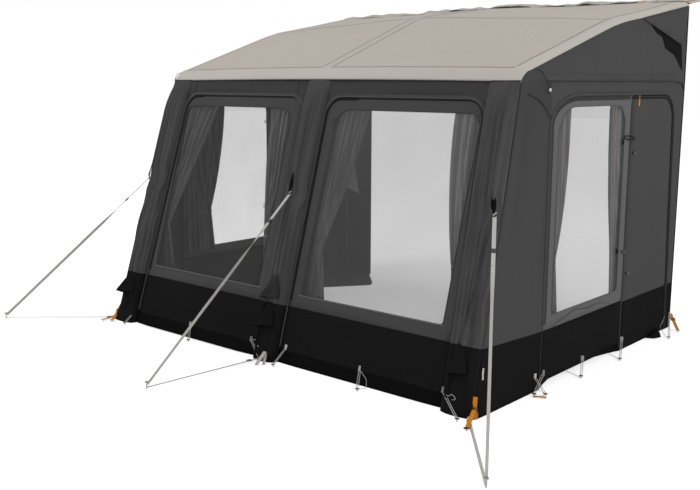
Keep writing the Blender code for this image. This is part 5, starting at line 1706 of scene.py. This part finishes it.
def peg_ladder(name, top, foot, up, spare=()):
    top = Vector(top)
    foot = Vector((foot[0], foot[1], 0.0125))
    line = [top.lerp(foot, step / 8) for step in range(9)]
    across = (foot - top).cross(Vector((0, 0, 1))).normalized()
    strands = [[p + across * 0.0062 * hand for p in line] for hand in (-1, 1)]
    strands = corded(name, strands, 0.0017, "webbing", rubber)
    rungs = rods_along(name + "_rungs", [line], 0.015, 0.0125, 0.0015, rubber, lie=across)
    tab = [top + up * reach for reach in (-0.008, 0.009, 0.026)]
    pieces = [keep(rungs, "awning", "webbing")]
    pieces.append(taped(name + "_tab", tab, across, 0.019, 0.0022, "webbing", webbing))
    pieces.append(peg(name + "_peg", foot))
    if spare:
        pieces.append(corded(name + "_spare", [eased(spare)], 0.0016, "webbing", rubber))
    declare_cord(strands, line, LADDER_WIDTH, "fitting", pieces)


FRONT_LADDERS = {
    "right_bay": ((0.810, -1.332, 0.087), (0.894, -1.455), (
        (0.812, -1.337, 0.080), (0.835, -1.346, 0.085), (0.862, -1.356, 0.069), (0.892, -1.369, 0.056),
        (0.903, -1.378, 0.029), (0.901, -1.385, 0.004), (0.890, -1.4035, 0.003), (0.882, -1.440, 0.003))),
    "right_leg": ((1.4644, -1.366, 0.1084), (1.637, -1.473), (
        (1.480, -1.378, 0.100), (1.527, -1.400, 0.103), (1.544, -1.402, 0.116), (1.565, -1.404, 0.112),
        (1.577, -1.408, 0.096), (1.556, -1.410, 0.091))),
    "middle_leg_left": ((-0.173, -1.331, 0.093), (0.007, -1.420), (
        (-0.150, -1.345, 0.100), (-0.105, -1.368, 0.118), (-0.075, -1.382, 0.122), (-0.058, -1.386, 0.094),
        (-0.030, -1.390, 0.082))),
    "middle_leg_right": ((0.159, -1.329, 0.098), (0.160, -1.448), ()),
    "left_bay": ((-0.8238, -1.3325, 0.0842), (-0.7164, -1.442), ()),
    "left_leg": ((-1.4856, -1.333, 0.0872), (-1.4616, -1.4584), ()),
}
for place_name, (top, foot, spare) in FRONT_LADDERS.items():
    peg_ladder(place_name + "_ladder", top, foot, front.v, spare)
SIDE_LADDERS = {
    "corner": ((1.708, -0.659, 0.091), (1.744, -0.823), ()),
    "corner_lower": ((1.7085, -0.754, 0.092), (1.795, -0.777), (
        (1.711, -0.760, 0.080), (1.733, -0.745, 0.050), (1.742, -0.775, 0.030), (1.760, -0.752, 0.012),
        (1.778, -0.760, 0.006), (1.782, -0.800, 0.004), (1.744, -0.823, 0.005))),
    "wall_forward": ((1.722, -0.172, 0.075), (1.792, -0.321), (
        (1.66, -0.262, 0.003), (1.722, -0.285, 0.003), (1.785, -0.315, 0.003))),
    "wall_middle": ((1.720, 0.414, 0.079), (1.811, 0.200), (
        (1.69, 0.287, 0.003), (1.748, 0.255, 0.003), (1.805, 0.210, 0.003))),
    "wall_rear": ((1.709, 1.268, 0.092), (1.844, 0.945), (
        (1.708, 1.192, 0.118), (1.709, 1.150, 0.072), (1.716, 1.085, 0.045), (1.733, 1.049, 0.046),
        (1.765, 1.020, 0.026), (1.800, 0.985, 0.008), (1.838, 0.952, 0.005))),
}
for side, hand in SIDES:
    for place_name, (top, foot, spare) in SIDE_LADDERS.items():
        top, foot = handed((top, (*foot, 0)), hand)
        peg_ladder(f"{side}_{place_name}_ladder", top, foot, Vector((0, 0, 1)), handed(spare, hand))


# Pegging straps. Flat tape at the corners and the middle leg, orange at the corners so that nobody trips on
# it. Most run from the cloth through a black buckle to a peg.
STRAP_WIDTH = 0.025


def buckle_frame(name, centre, across, along):
    ring = [centre + across * 0.016 * a + along * 0.010 * b for a, b in ((-1, -1), (1, -1), (1, 1), (-1, 1))]
    bar = [ring[0].lerp(ring[3], 0.5), ring[1].lerp(ring[2], 0.5)]
    return corded(name, [ring + [ring[0], ring[1]], bar], 0.0026, "black_plastic", guy_plastic)


def pegging_strap(name, points, material=orange, slot="orange_tape", far_end="fitting", hand=1):
    points = handed(points, hand)
    low = points[-1] - points[-2]
    across = low.cross(Vector((0, 0, 1))).normalized()
    line = []
    for a, b in zip(points, points[1:]):
        line += [a.lerp(b, step / 6) for step in range(6)]
    line.append(points[-1])
    strap = taped(name, line, across, STRAP_WIDTH, 0.002, slot, material)
    carried = []
    if len(points) > 2:
        up = (points[0] - points[1]).normalized()
        out = up.cross(across).normalized()
        out = -out if out.y > 0 else out
        carried.append(buckle_frame(name + "_buckle", points[1] + out * 0.004, across, up))
    if far_end == "fitting":
        carried.append(peg(name + "_peg", points[-1], 0.017))
    declare_cord(strap, line, STRAP_WIDTH, far_end, carried)


pegging_strap("right_corner_strap", ((1.6705, -1.3455, 0.1168), (1.6800, -1.3655, 0.0506),
                                     (1.756, -1.557, 0.0125)))
tail = ((1.6835, -1.369, 0.048), (1.693, -1.372, 0.030), (1.699, -1.380, 0.020), (1.705, -1.402, 0.014))
taped("right_corner_strap_tail", handed(tail, 1), Vector((0.9, 0.4, 0)), STRAP_WIDTH, 0.002, "orange_tape",
      orange)
pegging_strap("left_corner_strap", ((-1.6751, -1.3236, 0.1115), (-1.7055, -1.3428, 0.0525),
                                    (-1.7097, -1.369, 0.0130), (-1.6707, -1.5107, 0.0125)))
pegging_strap("left_corner_strap_low", ((-1.6995, -1.350, 0.045), (-1.5978, -1.4785, 0.0125)))
for side, hand in SIDES:
    rear_strap = ((1.7115, 1.285, 0.105), (1.745, 1.252, 0.070), (1.8212, 1.1707, 0.0125))
    pegging_strap(f"{side}_rear_strap", rear_strap, hand=hand)
    loose = handed(((1.749, -0.843, 0.006), (1.785, -0.826, 0.009), (1.82, -0.809, 0.006)), hand)
    taped(f"{side}_loose_strap", loose, Vector((0.4 * hand, -0.9, 0)), 0.020, 0.002, "orange_tape", orange)
    tag = handed(((1.6625, -1.2595, 0.2611), (1.6645, -1.2665, 0.228), (1.6665, -1.2695, 0.1952)), hand)
    taped(f"{side}_foot_tag", tag, Vector((0.35 * hand, 0.9, 0)), 0.012, 0.0012, "webbing", webbing)
middle_strap = ((0.036, -1.362, 0.139), (0.027, -1.383, 0.072), (0.0731, -1.519, 0.010))
pegging_strap("middle_leg_strap", middle_strap, webbing, "webbing", "bare")
top, foot = handed(((0.030, -1.386, 0.066), (0.094, -1.471, 0.006)), 1)
side_end = [top.lerp(foot, step / 8) for step in range(9)]
taped("middle_leg_strap_end", side_end, Vector((0.8, 0.5, 0)), 0.020, 0.002, "webbing", webbing)


# Wall trim. Elastic loops and black toggles that hold the door leaf rolled back, a cloth flap that covers
# the end of the rail high on the wall, and a cord with a spring lock that tightens the canopy's edge at the
# front corner.
elastic = woven("black_elastic", (0.012, 0.012, 0.012), 0.75, pitch=0.0016, crease=0.0002, crease_scale=60)
white_plastic, start, shader = finish("white_moulding", (0.62, 0.62, 0.60), 0.45)
feed(shader, Roughness=start.noise(start.place(), 240.0) * 0.2 + 0.35)
GABLE_PARTS = {
    # A black patch under the gable flap paints the shadow in the hollow beneath it.
    "gable_gusset": (0.003, mud_cloth, [(2.089, 2.2475), (2.182, 2.185), (2.27, 2.161), (2.317, 2.088),
                                        (2.466, 2.043), (2.549, 1.981), (2.612, 1.936), (2.583, 2.112)]),
    "gable_flap": (0.010, wall_cloth, [(1.984, 2.270), (2.583, 2.110), (2.667, 2.392)]),
}
CORNER_WELT = ((1.6133, 0.598, 1.7823), (1.6393, 0.6221, 1.7642), (1.6668, 0.6498, 1.7398),
               (1.6881, 0.6727, 1.7016), (1.7037, 0.692, 1.6615), (1.711, 0.7313, 1.6249))
EDGE_CORD = ((1.600, 0.72, 1.925), (1.640, 0.690, 1.914), (1.6713, 0.6708, 1.8895), (1.699, 0.6775, 1.838),
             (1.709, 0.684, 1.800))
DOOR_FLAP = (
    ((1.708, 0.840, 0.004), (1.709, 0.880, 0.012), (1.711, 0.93, 0.030), (1.714, 1.022, 0.046)),
    ((1.735, 0.852, 0.004), (1.741, 0.880, 0.008), (1.747, 0.93, 0.020), (1.757, 0.985, 0.024)),
    ((1.757, 0.866, 0.003), (1.766, 0.880, 0.003), (1.775, 0.905, 0.003), (1.785, 0.944, 0.004)),
)
for side, hand in SIDES:
    def on_wall(y, z, out):
        return at((WALL_HALF_WIDTH + out) * hand, y, z)

    eye = []
    for step in range(32):
        turn = 2 * math.pi * step / 32
        share = (1 - math.cos(turn)) / 2
        height = mixed(1.4934, 1.4764, share) + 0.012 * math.sin(turn)
        eye.append(on_wall(mixed(1.6855, 1.8496, share), height, 0.009))
    corded(f"{side}_door_loop", [eye], 0.0032, "webbing", elastic, cyclic=True)
    for number, (y, z) in enumerate(((1.674, 1.461), (1.673, 0.728))[hand < 0:]):
        turns = [step * math.pi / 8 for step in range(16)]
        ring = [on_wall(y + 0.011 * math.cos(turn), z + 0.014 * math.sin(turn), 0.008) for turn in turns]
        corded(f"{side}_tie_ring_{number + 1}", [ring], 0.0032, "webbing", elastic, cyclic=True)
    for number, (y, z) in enumerate(((1.855, 1.378), (1.768, 0.709), (1.851, 0.549))):
        body = f"{side}_side_door" if y > DOOR_START else "awning"
        bar = ((-0.020, 0.006, 0.009), (0, 0, 0.012), (0.020, -0.006, 0.009))
        bar = [on_wall(y + along, z + up, out) for along, up, out in bar]
        corded(f"{side}_tie_toggle_{number + 1}", [bar], 0.0065, "black_plastic", guy_plastic, body)
    for part_name, (lift, cloth, outline) in GABLE_PARTS.items():
        stood_off = Plane((WALL_HALF_WIDTH + lift, -BACK, 0), (0, 1, 0), (0, 0, 1))
        flap = cut_cloth(f"{side}_{part_name}", stood_off, outline, hand=hand, cell=0.05, seed=60.0 + lift)
        lean_in(flap, hand)
        keep(flap, "awning", "wall_cloth", cloth)
        declare_flat(flap, "hung", [f"{side}_wall_cloth"])
    diagonal = eased([at(x * hand, y, z) for x, y, z in CORNER_WELT], 4)
    corded(f"{side}_corner_welt", [diagonal], 0.0022, "wall_cloth", piping_cloth)
    slack = eased([at(x * hand, y, z) for x, y, z in EDGE_CORD], 6)
    pull_cord = corded(f"{side}_edge_cord", [slack], 0.002, "webbing", elastic)
    top, middle, low = (slack[-1] + Vector((0, 0, drop)) for drop in (0.014, -0.004, -0.022))
    lock = corded(f"{side}_cord_lock", [[top, middle]], 0.0065, "black_plastic", white_plastic)
    button = corded(f"{side}_cord_button", [[middle, low]], 0.0055, "black_plastic", guy_plastic)
    declare_cord(pull_cord, slack, 0.004, "fitting", [lock, button], "hanging")
    ground_flap = [handed(eased(line, 4), hand) for line in DOOR_FLAP]
    spread = grid_piece(f"{side}_door_ground_flap", ground_flap, outside=hand)
    keep(spread, f"{side}_side_door", "mud_cloth", mud_cloth)


# Door zip pullers. A folded loop of orange tape on each door's slider.
for side, hand in SIDES:
    dress(frame["nodes"][f"{side}_zip_puller"], orange)


# Studio. A white floor that keeps the awning's soft shadow, a white surround and broad plain light.
AMBIENT = 0.55


def seen_directly(start):
    """1 where the camera sees it, by itself or through something shiny or clear, and 0 elsewhere."""
    rays = start.node("ShaderNodeLightPath", {}, {})
    seen = rays
    for name in ("Is Glossy Ray", "Is Transmission Ray"):
        seen = seen.maths("MAXIMUM", seen, rays.other(name))
    return seen


world = bpy.data.worlds.new("studio")
world.use_nodes = True
scene.world = world
sky = Shade(world.node_tree)
background = world.node_tree.nodes["Background"]
background.inputs["Color"].default_value = (1, 1, 1, 1)
strength = seen_directly(sky) * (1 - AMBIENT) + AMBIENT
sky.tree.links.new(strength.socket, background.inputs["Strength"])

floor_material, start, shader = finish("floor", (0.86, 0.86, 0.86), 0.9)
shader.inputs["Emission Strength"].default_value = 1.0
feed(shader, Emission_Color=seen_directly(start).mixed((0, 0, 0), (0.56, 0.56, 0.56)))
bpy.ops.mesh.primitive_plane_add(size=80, location=(0, 0, -0.0005))
floor = bpy.context.object
floor.name = "floor"
floor.data.materials.append(floor_material)
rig.stage(floor)
LAMPS = {
    "key": ((-4.5, -7.0, 6.5), 4.5, 270),
    "top": ((0.5, 1.0, 8.0), 6.0, 70),
    "right": ((8.0, 0.0, 4.0), 5.0, 200),
}
for name, (place, size, power) in LAMPS.items():
    light = bpy.data.lights.new(name, "AREA")
    light.size = size
    light.energy = power
    lamp = bpy.data.objects.new(name, light)
    lamp.location = place
    lamp.rotation_euler = (Vector((0, 0, 1.0)) - Vector(place)).to_track_quat("-Z", "Y").to_euler()
    scene.collection.objects.link(lamp)

with open("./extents.json", "w") as sizes:
    json.dump({"cad": [list(map(float, c)) for c in cad_box], "visual": [list(map(float, c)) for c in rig.bounds()]}, sizes)
